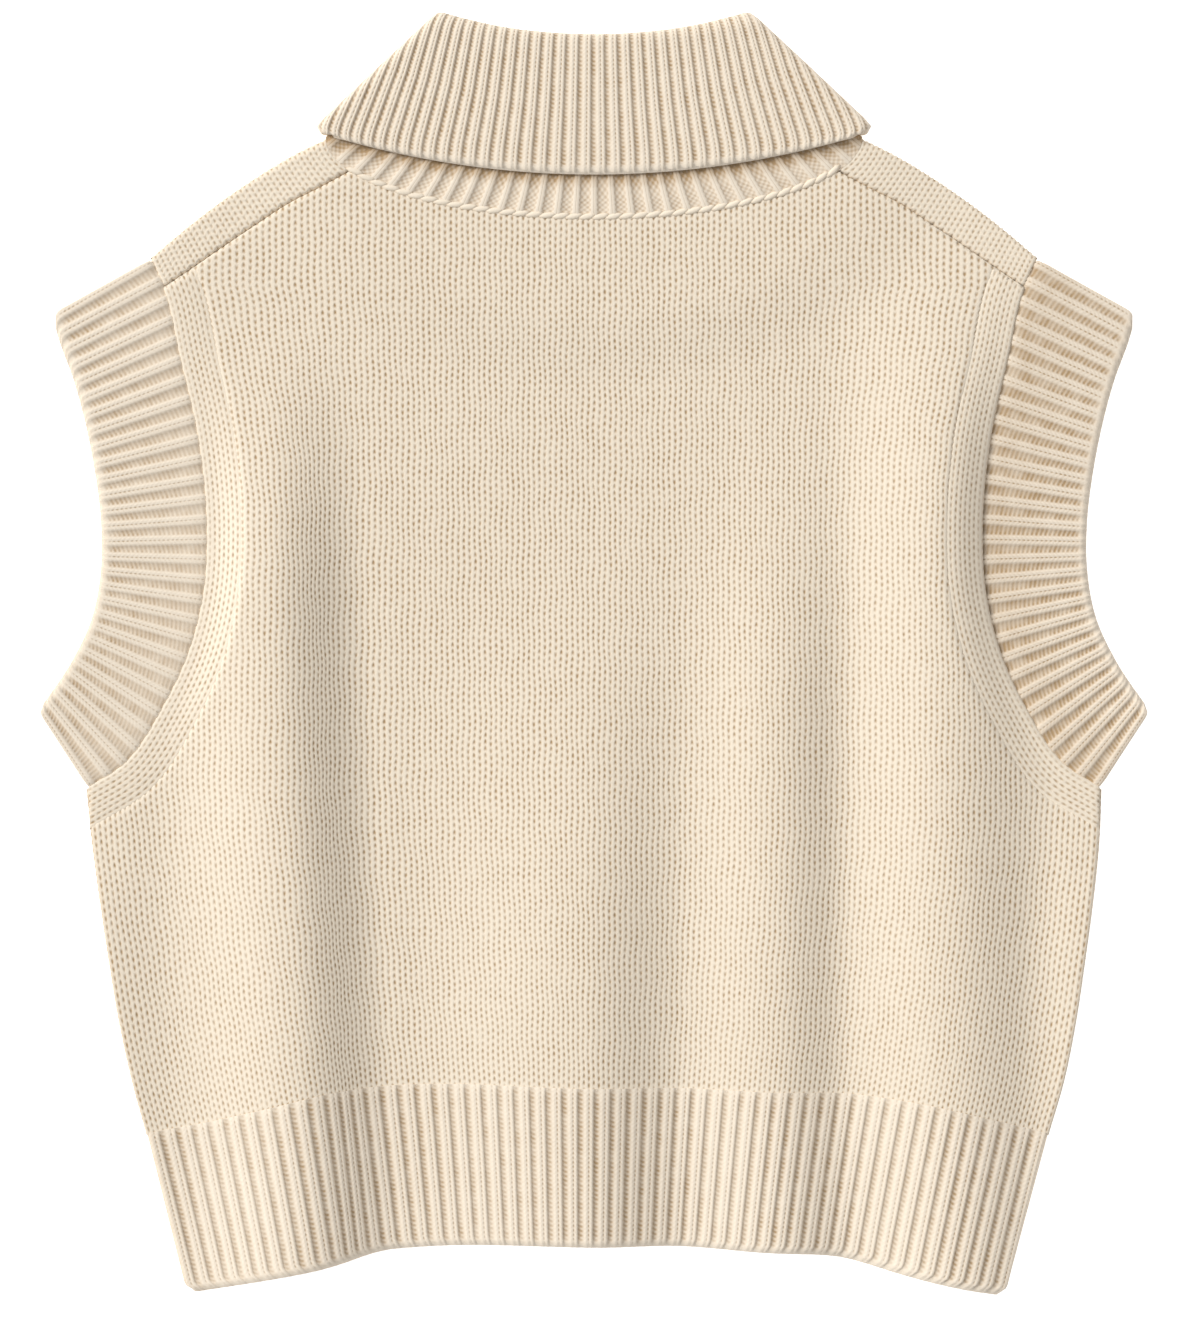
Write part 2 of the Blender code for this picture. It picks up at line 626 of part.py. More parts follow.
def collar_curve(ring, middle, square, samples=121):
    """Half of a ring seen from above, from left to right, with room left for its side folds."""
    turns = np.linspace(-0.5 * math.pi, 0.5 * math.pi, samples)
    x = ring.half * np.sin(turns)
    sweep = np.maximum(1.0 - (x / ring.half) ** 2, 0.0) ** square
    curve = np.column_stack((x, ring.side - (ring.side - middle) * sweep))
    reach = line_reach(curve)
    at = np.linspace(tip_radius(ring), reach[-1] - tip_radius(ring), samples)
    return np.column_stack([np.interp(at, reach, curve[:, axis]) for axis in (0, 1)])


def tip_radius(ring):
    """Radius of the ring's side folds."""
    return 0.5 * (ring.z_back - ring.z_front - ring.climb)


def line_reach(line):
    return np.concatenate(([0.0], np.cumsum(np.linalg.norm(np.diff(line, axis=0), axis=1))))


def rib_spread(ring):
    """Shares across the back of a ring; near the side folds the ribs crowd together."""
    length = 0.5 * line_reach(collar_curve(ring, ring.back, ring.square))[-1]
    crowd = 0.5 * ring.ribs * ring.pitch / length
    places = []
    for share, crest in rib_places(ring.ribs):
        off = 2.0 * share - 1.0
        far = abs(off) * crowd - (crowd - 1.0) * abs(off) ** CROWDING
        places.append((0.5 + 0.5 * math.copysign(far, off), crest))
    return places


def side_fold(back_end, front_end, ring, sign):
    """Points round a side fold, from the back layer to the front one."""
    radius = tip_radius(ring)
    tip = np.array((sign * ring.half, ring.side))
    base = 0.5 * (back_end + front_end)
    away = (tip - base) / np.linalg.norm(tip - base)
    points = []
    for step in range(1, SIDE_TURNS):
        angle = math.pi * step / SIDE_TURNS
        share = 0.5 - 0.5 * math.cos(angle)
        x, y = back_end + (front_end - back_end) * share + away * radius * math.sin(angle)
        points.append((x, y, ring.z_back - radius * (1.0 - math.cos(angle))))
    return points


def collar_ring(ring):
    """One ring as four runs: back, right side fold, front and left side fold."""
    back = collar_curve(ring, ring.back, ring.square)
    front = collar_curve(ring, ring.front, ring.under)
    places = [(t, False) for t in spread(0.0, 1.0, PLAIN_BACK_PARTS)]
    if ring.ribs:
        places = rib_spread(ring)
    over = []
    for share, crest in places:
        x, y = along(back, share)
        fade = ease((1.0 - abs(2.0 * share - 1.0)) / RIB_FADE)
        over.append((x, y, ring.z_back + (ring.rise * fade if crest else 0.0)))
    under = []
    for share in spread(1.0, 0.0, FRONT_PARTS):
        raised = ring.climb * (2.0 * share - 1.0) ** 4
        under.append((*along(front, share), ring.z_front + raised))
    right = side_fold(back[-1], front[-1], ring, 1)
    left = side_fold(back[0], front[0], ring, -1)
    return [over, right, under, left[::-1]]


def make_collar():
    return add_tube("collar", [collar_ring(ring) for ring in COLLAR])


# ------------------------------------------------------------------ the garment

def main():
    for obj in list(bpy.data.objects):
        bpy.data.objects.remove(obj)
    make_front_panel()
    make_hem_rib_front()
    make_back_panel()
    make_hem_rib_back()
    make_armhole_rib("left_armhole_rib", -1)
    make_armhole_rib("right_armhole_rib", 1)
    make_collar()


main()
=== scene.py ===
# %% [markdown]
# # A ribbed and plain-knit pullover without sleeves, laid flat
# The real object is knitted from a soft, creamy wool yarn: two plain-knit panels, a wide rib
# collar turned down over itself, a rib band round each armhole and a rib hem. It lies on its
# front, so the back is up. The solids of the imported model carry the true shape. This script
# lays a knitted surface over each of them and lights it like a studio photograph.

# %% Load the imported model
import math

import bmesh
import bpy
import mathutils
import numpy as np
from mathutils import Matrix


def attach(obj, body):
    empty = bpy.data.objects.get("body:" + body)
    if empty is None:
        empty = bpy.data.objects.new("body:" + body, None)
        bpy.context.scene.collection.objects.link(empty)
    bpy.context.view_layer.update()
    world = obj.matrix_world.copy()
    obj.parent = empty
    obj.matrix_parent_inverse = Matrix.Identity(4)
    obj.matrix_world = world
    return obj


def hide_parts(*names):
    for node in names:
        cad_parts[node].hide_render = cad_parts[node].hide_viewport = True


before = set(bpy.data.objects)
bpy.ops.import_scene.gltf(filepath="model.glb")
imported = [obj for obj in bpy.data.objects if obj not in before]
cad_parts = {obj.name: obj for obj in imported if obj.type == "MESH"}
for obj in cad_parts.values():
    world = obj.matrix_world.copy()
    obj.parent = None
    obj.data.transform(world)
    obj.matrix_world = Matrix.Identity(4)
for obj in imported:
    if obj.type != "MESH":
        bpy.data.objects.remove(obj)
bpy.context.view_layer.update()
MM = 0.001
print("nodes:", ", ".join(sorted(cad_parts)))

# %% [markdown]
# ## Camera, floor and light
# A flat garment is photographed from straight above with a long lens, so that nothing leans
# away. The camera's distance follows from the height of the picture at the cloth. The light is
# a wide soft lamp at the upper left, low enough to draw the ribs, with a white sky to fill in.

# %% Camera, straight above the cloth
PIXEL = 0.5 * MM  # one pixel of the photograph on the cloth
PICTURE_HEIGHT = 1324 * PIXEL
LENS = 85.0
SENSOR = 36.0
CLOTH_HEIGHT = 1.5 * MM
PICTURE_MIDDLE = -4.25 * MM  # Y of the cloth in the middle of the picture

camera_data = bpy.data.cameras.new("camera")
camera_data.lens = LENS
camera_data.sensor_width = SENSOR
camera = bpy.data.objects.new("camera", camera_data)
camera.location = (0.0, PICTURE_MIDDLE, CLOTH_HEIGHT + PICTURE_HEIGHT * LENS / SENSOR)
bpy.context.scene.collection.objects.link(camera)
bpy.context.scene.camera = camera
bpy.context.scene.view_settings.view_transform = "Standard"
print(f"camera {camera.location.z:.3f} m above the floor")

# %% Lamp and white sky
KEY_TURN = (math.radians(55), 0.0, math.radians(238))
KEY_STRENGTH = 2.75
KEY_ANGLE = math.radians(30)
SKY_STRENGTH = 0.53

sun_data = bpy.data.lights.new("window_light", "SUN")
sun_data.energy = KEY_STRENGTH
sun_data.angle = KEY_ANGLE
sun_data.color = (1.0, 0.985, 0.96)
sun = bpy.data.objects.new("window_light", sun_data)
sun.rotation_euler = KEY_TURN
bpy.context.scene.collection.objects.link(sun)

world = bpy.data.worlds.new("white_room")
world.use_nodes = True
sky = world.node_tree.nodes["Background"].inputs
sky["Color"].default_value = (1.0, 1.0, 1.0, 1.0)
sky["Strength"].default_value = SKY_STRENGTH
bpy.context.scene.world = world

# %% Plain pale floor
FLOOR_SIZE = 6.0

floor_mesh = bpy.data.meshes.new("floor")
bm = bmesh.new()
bmesh.ops.create_grid(bm, x_segments=1, y_segments=1, size=FLOOR_SIZE / 2)
bmesh.ops.translate(bm, vec=(0.0, 0.0, -0.2 * MM), verts=bm.verts)
bm.to_mesh(floor_mesh)
bm.free()
floor = bpy.data.objects.new("floor", floor_mesh)
bpy.context.scene.collection.objects.link(floor)
paper = bpy.data.materials.new("white_paper")
paper.use_nodes = True
finish = paper.node_tree.nodes["Principled BSDF"].inputs
finish["Base Color"].default_value = (0.95, 0.95, 0.95, 1.0)
finish["Roughness"].default_value = 1.0
finish["Emission Color"].default_value = (1.0, 1.0, 1.0, 1.0)
finish["Emission Strength"].default_value = 0.75
floor_mesh.materials.append(paper)

# %% [markdown]
# ## The lines of the cut
# A knitter works from a schematic: the neckline, the shoulders, the armholes and the sides. The
# same lines shape the solids, so they are repeated here in millimetres, +Y towards the collar.
# Each line has only the points that it bends at, and a smooth curve runs through them.

# %% Sizes of the cloth
WALL = 2.4  # thickness of the plain knit
LAYER = WALL + 0.3  # step from one layer of cloth to the next
FOLD = WALL + LAYER  # height of a single fold
RIB_CREST = 3.4  # thickness of the rib knit over its ribs
RIB_GUTTER = 2.3  # and between them
ROW = 3.45  # height of one row of stitches
NECK_HALF = 132.5
NECK_TOP = 257.3
NECK_BACK_DEPTH = 40.3
NECK_FRONT_DEPTH = 86.8
NECK_CORNER = 121.0
UNDERARM = -67.5
HEM_RIBS = 56
ARMHOLE_RIBS = 28

# %% Lines through a few points
ARMHOLE_SEAM = ((222.0, 197.8), (214.7, 183.0), (206.0, 147.3), (197.0, 107.3), (192.8, 60.0),
                (194.0, 34.3), (203.3, -3.0), (214.0, -25.3), (235.5, -56.3), (253.5, -67.5))
ARMHOLE_EDGE = ((271.0, 170.5), (267.3, 156.8), (260.0, 136.8), (254.5, 116.8), (249.5, 92.0),
                (246.3, 66.0), (246.3, 42.0), (251.0, 17.0), (260.5, -3.3), (278.0, -29.3))
SHOULDER_FOLD = ((132.85, 257.3), (147.0, 250.8), (167.0, 239.3), (187.0, 225.8),
                 (207.0, 210.3), (221.6, 197.8))
SHOULDER_SEAM = ((121.0, 240.9), (136.3, 232.6), (152.3, 224.6), (168.2, 214.5),
                 (184.2, 203.8), (200.1, 192.8), (214.7, 183.0))
LEFT_SIDE = ((-223.5, -240.8), (-231.0, -213.3), (-237.5, -183.3), (-242.5, -153.3),
             (-247.0, -123.3), (-251.0, -93.3), (-253.5, -67.5))
RIGHT_SIDE = ((227.0, -240.8), (235.0, -213.3), (241.0, -183.3), (245.5, -153.3),
              (249.5, -123.3), (252.5, -93.3), (253.5, -67.5))
HEM_TOP = ((-223.5, -240.8), (-197.0, -235.8), (-167.0, -228.3), (-132.0, -219.8),
           (-107.0, -217.3), (3.0, -217.3), (83.0, -219.3), (133.0, -221.3),
           (168.0, -225.8), (203.0, -234.3), (227.0, -240.8))
HEM_EDGE = ((-203.5, -319.5), (-187.0, -316.3), (-157.0, -309.8), (-127.0, -303.3),
            (-107.0, -298.3), (-87.0, -296.3), (23.0, -295.3), (73.0, -297.3),
            (123.0, -301.3), (153.0, -308.8), (183.0, -315.3), (205.5, -319.5))


def lengths(line):
    """How far along a line each of its points is."""
    return np.concatenate(([0.0], np.cumsum(np.linalg.norm(np.diff(line, axis=0), axis=1))))


def smooth_line(points, samples=400):
    """Points at even lengths along a smooth curve through the given ones."""
    given = np.array(points, dtype=float)
    reach = lengths(given)
    slope = np.gradient(given, reach, axis=0)
    at = np.linspace(0.0, reach[-1], samples)
    piece = np.clip(np.searchsorted(reach, at, side="right") - 1, 0, len(reach) - 2)
    span = (reach[piece + 1] - reach[piece])[:, None]
    f = (at[:, None] - reach[piece][:, None]) / span
    return ((2 * f**3 - 3 * f**2 + 1) * given[piece] + (f**3 - 2 * f**2 + f) * span * slope[piece]
            + (3 * f**2 - 2 * f**3) * given[piece + 1] + (f**3 - f**2) * span * slope[piece + 1])


def along(line, share):
    """Points at the given shares of a line, as two arrays."""
    ticks = np.linspace(0.0, 1.0, len(line))
    return np.interp(share, ticks, line[:, 0]), np.interp(share, ticks, line[:, 1])


def height_over(line, x):
    return np.interp(x, line[:, 0], line[:, 1])


def reach_at(line, y):
    """The line's X at a given Y, for a line that runs up or down."""
    rising = line[np.argsort(line[:, 1])]
    return np.interp(y, rising[:, 1], rising[:, 0])


SEAM = smooth_line(ARMHOLE_SEAM)
EDGE = smooth_line(ARMHOLE_EDGE)
SHOULDER_TOP = smooth_line(SHOULDER_FOLD)
SHOULDER = smooth_line(SHOULDER_SEAM)
SIDE = {-1: smooth_line(LEFT_SIDE), 1: smooth_line(RIGHT_SIDE)}
HEM_LINE = smooth_line(HEM_TOP)
HEM_LOW = smooth_line(HEM_EDGE)
print(f"armhole seam {lengths(SEAM)[-1]:.0f} mm, shoulder {lengths(SHOULDER)[-1]:.0f} mm")

# %% [markdown]
# ## How the cloth lies
# The back doesn't lie dead flat. A few long soft folds run down it, and the layers of the collar
# lift it round the neck. One function gives the height of the cloth anywhere, so every
# piece on the back rises and falls with it.

# %% Soft folds and the lift round the neck
# crest X at the top and at the foot, Y where it starts and where it is full, height, two widths
SOFT_FOLDS = ((-166.0, -140.0, 175.0, 20.0, 15.0, 68.0, 45.0),
              (-4.0, -4.0, 80.0, -190.0, 11.5, 92.0, 50.0),
              (94.0, 91.0, 130.0, -60.0, 8.3, 52.0, 37.0),
              (172.0, 180.0, 230.0, 60.0, 12.5, 61.0, 54.0),
              (246.0, 240.0, -75.0, -150.0, 3.5, 32.0, 30.0),
              (-252.0, -240.0, -60.0, -150.0, 3.0, 30.0, 34.0))
FOLDS_END = -320.0
COLLAR_LIFT = 2.7
LIFT_START = 45.0
LIFT_REACH = 45.0
NECK_REACH = 100.0


def ease(f):
    """0 below 0, 1 above 1 and a smooth rise between."""
    f = np.clip(f, 0.0, 1.0)
    return f * f * (3.0 - 2.0 * f)


def near(distance, reach):
    """1 at an edge, fading to 0 at some distance from it."""
    return ease(1.0 - distance / reach)


def mix(a, b, f):
    return a + (b - a) * f


def neck_lift(x, y):
    drop = np.maximum(NECK_TOP - y, 0.0) / NECK_FRONT_DEPTH
    outside = (np.hypot(x / NECK_HALF, drop) - 1.0) * NECK_REACH
    return COLLAR_LIFT * ease((LIFT_START - outside) / LIFT_REACH)


def soft_folds(x, y):
    total = np.zeros_like(x)
    for x_top, x_foot, y_top, y_full, height, left, right in SOFT_FOLDS:
        off = x - mix(x_top, x_foot, (y_top - y) / (y_top - FOLDS_END))
        width = np.where(off < 0.0, left, right)
        swell = np.where(np.abs(off) < width, 0.5 + 0.5 * np.cos(np.pi * off / width), 0.0)
        total += height * swell * ease((y_top - y) / (y_top - y_full))
    # the armhole seams hold the cloth down, the right one less firmly
    inside = reach_at(SEAM, y) - np.abs(x)
    loose = 1.0 - 0.72 * np.clip(1.0 - inside / 26.0, 0.0, 1.0) ** 2
    held = np.where(x > 0.0, loose, ease(inside / 22.0))
    return total * np.maximum(held, ease((UNDERARM - y) / 60.0))


def cloth_floor(x, y):
    """Underside of the back layer."""
    return LAYER + neck_lift(x, y) + soft_folds(x, y)


def turned_to_lamp(x, y):
    """0 on level cloth, up to 1 where a fold's left side faces the lamp; there the stitches' painted
    dots are weakened, as painted light.
    """
    return ease((soft_folds(x + 1.0, y) - soft_folds(x - 1.0, y)) / 0.6)


def roll(distance, radius):
    """How far a rounded edge drops at some distance inside its rim."""
    inside = np.clip(radius - distance, 0.0, radius)
    return radius - np.sqrt(radius**2 - inside**2)


# %% [markdown]
# ## Knitting a surface
# Every knitted piece starts as a flat slab measured in stitches: X counts columns, Y counts
# rows, and Z is 1 on the outer face and 0 on the inner one. The slab is a bmesh grid, extruded
# to give it an inside, with only its outer face subdivided finely. Then one function per piece
# lays the slab over the garment and raises the stitches. The stitch count also becomes a UV map,
# so that colour and bump follow each column and row wherever the cloth bends.

# %% A slab of knitting
def stitch_slab(columns, rows, fine, coarse=(1, 1)):
    """fine: faces for each column and row outside; coarse: columns and rows for each face inside."""
    bm = bmesh.new()
    bmesh.ops.create_grid(bm, x_segments=round(columns / coarse[0]),
                          y_segments=round(rows / coarse[1]), size=0.5)
    bmesh.ops.translate(bm, vec=(0.5, 0.5, 0.0), verts=bm.verts)
    bmesh.ops.scale(bm, vec=(columns, rows, 1.0), verts=bm.verts)
    raised = bmesh.ops.extrude_face_region(bm, geom=bm.faces[:], use_keep_orig=True)["geom"]
    bmesh.ops.translate(bm, vec=(0.0, 0.0, 1.0),
                        verts=[v for v in raised if isinstance(v, bmesh.types.BMVert)])
    bmesh.ops.recalc_face_normals(bm, faces=bm.faces)
    for axis in (0, 1):
        cuts = fine[axis] * coarse[axis] - 1
        edges = [e for e in bm.edges if min(v.co.z for v in e.verts) > 0.5
                 and abs(e.verts[0].co[axis] - e.verts[1].co[axis]) > 1e-6]
        if cuts > 0:
            bmesh.ops.subdivide_edges(bm, edges=edges, cuts=cuts, use_grid_fill=True)
    return bm


def open_ends(bm, columns):
    """Take away a slab's two end walls, so that its ends can meet in a tube."""
    walls = [f for f in bm.faces if all(v.co.x < 1e-6 for v in f.verts)
             or all(v.co.x > columns - 1e-6 for v in f.verts)]
    bmesh.ops.delete(bm, geom=walls, context="FACES")


def lay_down(name, bm, place, material):
    """Turn a slab into an object: place() gives millimetres and stitch coordinates."""
    mesh = bpy.data.meshes.new(name)
    for face in bm.faces:
        face.smooth = True
    for edge in bm.edges:  # only the slab's own corners stay sharp
        edge.smooth = len(edge.link_faces) < 2 or edge.calc_face_angle() < 1.0
    bm.to_mesh(mesh)
    bm.free()
    slab = np.empty(len(mesh.vertices) * 3)
    mesh.vertices.foreach_get("co", slab)
    where, stitches, *shades = place(slab.reshape(-1, 3))
    mesh.vertices.foreach_set("co", (where * MM).ravel())
    corners = np.empty(len(mesh.loops), dtype=np.int32)
    mesh.loops.foreach_get("vertex_index", corners)
    layer = mesh.uv_layers.new(name="stitches")
    layer.uv.foreach_set("vector", stitches[corners].ravel())
    for label, values in zip(("gap_shade_strength", "rim_shade"), shades):
        mesh.attributes.new(label, "FLOAT", "POINT").data.foreach_set("value", values)
    mend = bmesh.new()
    mend.from_mesh(mesh)
    bmesh.ops.remove_doubles(mend, verts=mend.verts, dist=0.02 * MM)
    bmesh.ops.dissolve_degenerate(mend, edges=mend.edges, dist=0.01 * MM)
    open_edges = sum(len(edge.link_faces) != 2 for edge in mend.edges)
    area = 0.5 * sum(face.calc_area() for face in mend.faces)
    mend.to_mesh(mesh)
    mend.free()
    mesh.materials.append(material)
    piece = bpy.data.objects.new(name, mesh)
    bpy.context.scene.collection.objects.link(piece)
    triangles = sum(len(p.vertices) - 2 for p in mesh.polygons)
    print(f"{name}: {triangles} triangles, {open_edges} open edges, {area:.4f} square metres")
    return piece


# %% Relief of the two kinds of knitting
PLAIN_RELIEF = 0.8  # from the dark dots between stitches up to their legs
CHEVRON = 0.5  # how far, in rows, a stitch's middle hangs below its sides


def plain_dip(p, q):
    """How far below its legs' tops a place of a plain stitch lies; a dark dot is between the legs."""
    leg = np.abs(np.sin(2.0 * np.pi * p))
    crossing = 0.5 - 0.5 * np.cos(2.0 * np.pi * q)
    return PLAIN_RELIEF * (1.0 - mix(0.45 * crossing, 0.88 + 0.12 * crossing, leg))


RIB_SPOTS = np.array((0.0, 0.15, 0.28, 0.375, 0.5, 0.625, 0.72, 0.85))  # where a rib is sampled
RIB_PROFILE = np.array(((0.0, 0.66), (0.125, 1.0), (0.22, 0.96), (0.35, 0.36), (0.50, 0.0)))


def rib_place(p):
    """Move the even samples of each rib to where its profile bends."""
    whole = np.floor(p + 1e-6)
    return whole + np.interp(p - whole, np.arange(9) / 8.0, np.append(RIB_SPOTS, 1.0))


def lean(p, ribs):
    """Lean the ribs over a little, so that each gutter is steep on one side and slow on the other."""
    whole = np.floor(p + 1e-6)
    moved = whole + np.interp(p - whole, (0.0, 0.28, 0.72, 1.0), (-0.12, 0.28, 0.72, 0.88))
    return np.where((p < 1e-6) | (p > ribs - 1e-6), p, moved)


def widen(p, stretch):
    """The rib's own coordinate where its gutter is pulled wide and its crest keeps its width."""
    whole = np.floor(p + 1e-6)
    return whole + 0.5 + np.clip((p - whole - 0.5) * stretch, -0.5, 0.5)


def rib_height(p):
    """Height from 0 to 1 of a rib: two rounded strands between two purl gutters."""
    off = np.abs(p - np.floor(p + 1e-6) - 0.5)  # how far from the rib's middle
    return np.interp(off, RIB_PROFILE[:, 0], RIB_PROFILE[:, 1])


# %% [markdown]
# ## The yarn
# It is one creamy wool-blend yarn throughout, with the ribs painted a little darker as painted shade.
# Three things make it read as knitting: the dark dots where the light doesn't reach between stitches,
# the soft sheen of fine fibres, and a slight unevenness from stitch to stitch. The dots and gutters
# are painted shade worked out from the UV map, and each piece adds painted shade and painted light
# along its edges and folds in attributes. The fibres and the unevenness come from noise on object
# coordinates.

# %% Node helpers
YARN_LIGHT = (0.868, 0.770, 0.634, 1.0)
# the ribs' yarn is the same yarn painted a little darker, as painted shade for ribs that shadow each
# other
RIB_LIGHT = (0.845, 0.750, 0.626, 1.0)
# the colour the yarn is painted in its shade: the dots between stitches, the gutters, and the darkened
# edges and folds
PAINTED_SHADE_YARN = (0.430, 0.295, 0.165, 1.0)


def add_node(tree, kind, **settings):
    node = tree.nodes.new(kind)
    for key, value in settings.items():
        setattr(node, key, value)
    return node


def calc(tree, operation, a, b=None, c=None):
    """One Math node; each of its inputs is a number or another node's output."""
    node = add_node(tree, "ShaderNodeMath", operation=operation)
    for socket, value in zip(node.inputs, (a, b, c)):
        if value is None:
            continue
        if isinstance(value, (int, float)):
            socket.default_value = value
        else:
            tree.links.new(value, socket)
    return node.outputs[0]


def wave(tree, value, turns):
    """1 where the value is whole, 0 halfway between."""
    turned = calc(tree, "MULTIPLY", value, 2.0 * math.pi * turns)
    return calc(tree, "MULTIPLY_ADD", calc(tree, "COSINE", turned), 0.5, 0.5)


def between(tree, value, low, high):
    """A smooth step from 0 at low to 1 at high."""
    node = add_node(tree, "ShaderNodeMapRange", interpolation_type="SMOOTHSTEP")
    tree.links.new(value, node.inputs["Value"])
    node.inputs["From Min"].default_value = low
    node.inputs["From Max"].default_value = high
    return node.outputs["Result"]


def noise(tree, place, scale, detail):
    """Soft random values from 0 to 1; a higher scale makes them finer."""
    node = add_node(tree, "ShaderNodeTexNoise")
    node.inputs["Scale"].default_value = scale
    node.inputs["Detail"].default_value = detail
    tree.links.new(place, node.inputs["Vector"])
    return node.outputs["Fac"]


# %% Shade of the plain knit and of the rib knit
RIB_ROWS_FINER = 1.6  # the ribs have more rows to the centimetre than the plain knit


def plain_shade(tree, p, q):
    """How deep in shadow each place of a plain stitch is."""
    valley = calc(tree, "POWER", wave(tree, p, 2.0), 1.8)
    dot = calc(tree, "POWER", wave(tree, q, 1.0), 0.9)
    return calc(tree, "MULTIPLY", valley, calc(tree, "MULTIPLY_ADD", dot, 0.85, 0.12))


def rib_shade(tree, p, q, deep=0.52):
    """How deep in shadow each place of a rib is."""
    row = calc(tree, "MULTIPLY", q, RIB_ROWS_FINER)
    off = calc(tree, "ABSOLUTE", calc(tree, "SUBTRACT", calc(tree, "FRACT", p), 0.5))
    slant = calc(tree, "MULTIPLY_ADD", p, 2.0, row)  # the purl bumps lie slanted in the gutter
    purl = calc(tree, "MULTIPLY_ADD", wave(tree, slant, 1.0), 0.44, deep - 0.22)
    gutter = calc(tree, "MULTIPLY", between(tree, off, 0.23, 0.43), purl)
    middle = between(tree, off, 0.07, 0.01)
    dots = calc(tree, "MULTIPLY", middle, calc(tree, "MULTIPLY_ADD", wave(tree, row, 1.0), 0.44, 0.16))
    twist = wave(tree, calc(tree, "MULTIPLY_ADD", off, 3.0, row), 1.0)
    return calc(tree, "MULTIPLY_ADD", twist, 0.13, calc(tree, "MAXIMUM", gutter, dots))


def stretched_shade(tree, p, q):
    """A rib pulled wide: a narrow crest between fields of small purl bumps."""
    row = calc(tree, "MULTIPLY", q, RIB_ROWS_FINER)
    off = calc(tree, "ABSOLUTE", calc(tree, "SUBTRACT", calc(tree, "FRACT", p), 0.5))
    across = calc(tree, "COSINE", calc(tree, "MULTIPLY", p, 2.0 * math.pi * 3.0))
    down = calc(tree, "COSINE", calc(tree, "MULTIPLY", row, 2.0 * math.pi * 0.7))
    bumps = calc(tree, "MULTIPLY_ADD", calc(tree, "MULTIPLY", across, down), 0.28, 0.32)
    field = calc(tree, "MULTIPLY", between(tree, off, 0.13, 0.22), bumps)
    middle = between(tree, off, 0.03, 0.0)
    return calc(tree, "MAXIMUM", field, calc(tree, "MULTIPLY", middle, 0.35))


# %% The yarn's material
FIBRE_SCALE = 900.0
CLOUD_SCALE = 14.0
STITCH_SCALE = 160.0


def knit_material(name, shade_of, light):
    material = bpy.data.materials.new(name)
    material.use_nodes = True
    tree = material.node_tree
    finish = tree.nodes["Principled BSDF"].inputs
    finish["Roughness"].default_value = 0.92
    finish["Sheen Weight"].default_value = 0.08
    finish["Sheen Roughness"].default_value = 0.5
    finish["Specular IOR Level"].default_value = 0.2
    stitches = add_node(tree, "ShaderNodeUVMap", uv_map="stitches")
    split = add_node(tree, "ShaderNodeSeparateXYZ")
    tree.links.new(stitches.outputs["UV"], split.inputs[0])
    # this attribute scales the painted shade of the stitches' dots and gutters; pieces lower it at
    # bound edges and, as painted light, where the cloth faces the lamp
    gap_shade_strength = add_node(tree, "ShaderNodeAttribute", attribute_name="gap_shade_strength")
    # the rim_shade attribute adds painted shade along edges and folds, under the collar's fall and on
    # the right armhole rib
    rim = add_node(tree, "ShaderNodeAttribute", attribute_name="rim_shade")
    shade = calc(tree, "MULTIPLY_ADD", shade_of(tree, split.outputs["X"], split.outputs["Y"]),
                 gap_shade_strength.outputs["Fac"], rim.outputs["Fac"])
    place = add_node(tree, "ShaderNodeTexCoord").outputs["Object"]
    fibre = noise(tree, place, FIBRE_SCALE, 4.0)
    uneven = calc(tree, "MULTIPLY_ADD", noise(tree, place, CLOUD_SCALE, 3.0), 0.10, -0.05)
    grain = calc(tree, "MULTIPLY_ADD", fibre, 0.20, -0.10)
    loose = calc(tree, "MULTIPLY_ADD", noise(tree, place, STITCH_SCALE, 1.0), 1.2, 0.4)
    depth = calc(tree, "MULTIPLY_ADD", shade, loose, calc(tree, "ADD", uneven, grain))
    tint = add_node(tree, "ShaderNodeMix", data_type="RGBA")
    tint.inputs["A"].default_value = light
    tint.inputs["B"].default_value = PAINTED_SHADE_YARN
    tree.links.new(depth, tint.inputs["Factor"])
    tree.links.new(tint.outputs["Result"], finish["Base Color"])
    relief = calc(tree, "SUBTRACT", calc(tree, "MULTIPLY", fibre, 0.35), shade)
    bump = add_node(tree, "ShaderNodeBump")
    bump.inputs["Strength"].default_value = 0.6
    bump.inputs["Distance"].default_value = 0.5 * MM
    tree.links.new(relief, bump.inputs["Height"])
    tree.links.new(bump.outputs["Normal"], finish["Normal"])
    return material


plain_yarn = knit_material("plain_knit_yarn", plain_shade, YARN_LIGHT)
rib_yarn = knit_material("rib_knit_yarn", rib_shade, RIB_LIGHT)
stretched_yarn = knit_material("stretched_rib_yarn", stretched_shade, RIB_LIGHT)


def chain_shade(tree, p, q):
    """Painted shade on a chain stitch: darker where it dips under the next one."""
    return calc(tree, "MULTIPLY", calc(tree, "POWER", wave(tree, p, 1.0), 3.0), 0.35)


chain_yarn = knit_material("chain_yarn", chain_shade, YARN_LIGHT)
print("materials:", *(m.name for m in (plain_yarn, rib_yarn, stretched_yarn, chain_yarn)))

# %% [markdown]
# ## Back panel
# On the real vest the columns run straight up the back and fan out a little towards the
# shoulders. Past the armhole, the neckline and the shoulder seams there is no cloth, so
# the slab's stitches are held back to those lines, and the ones that fall together are merged.

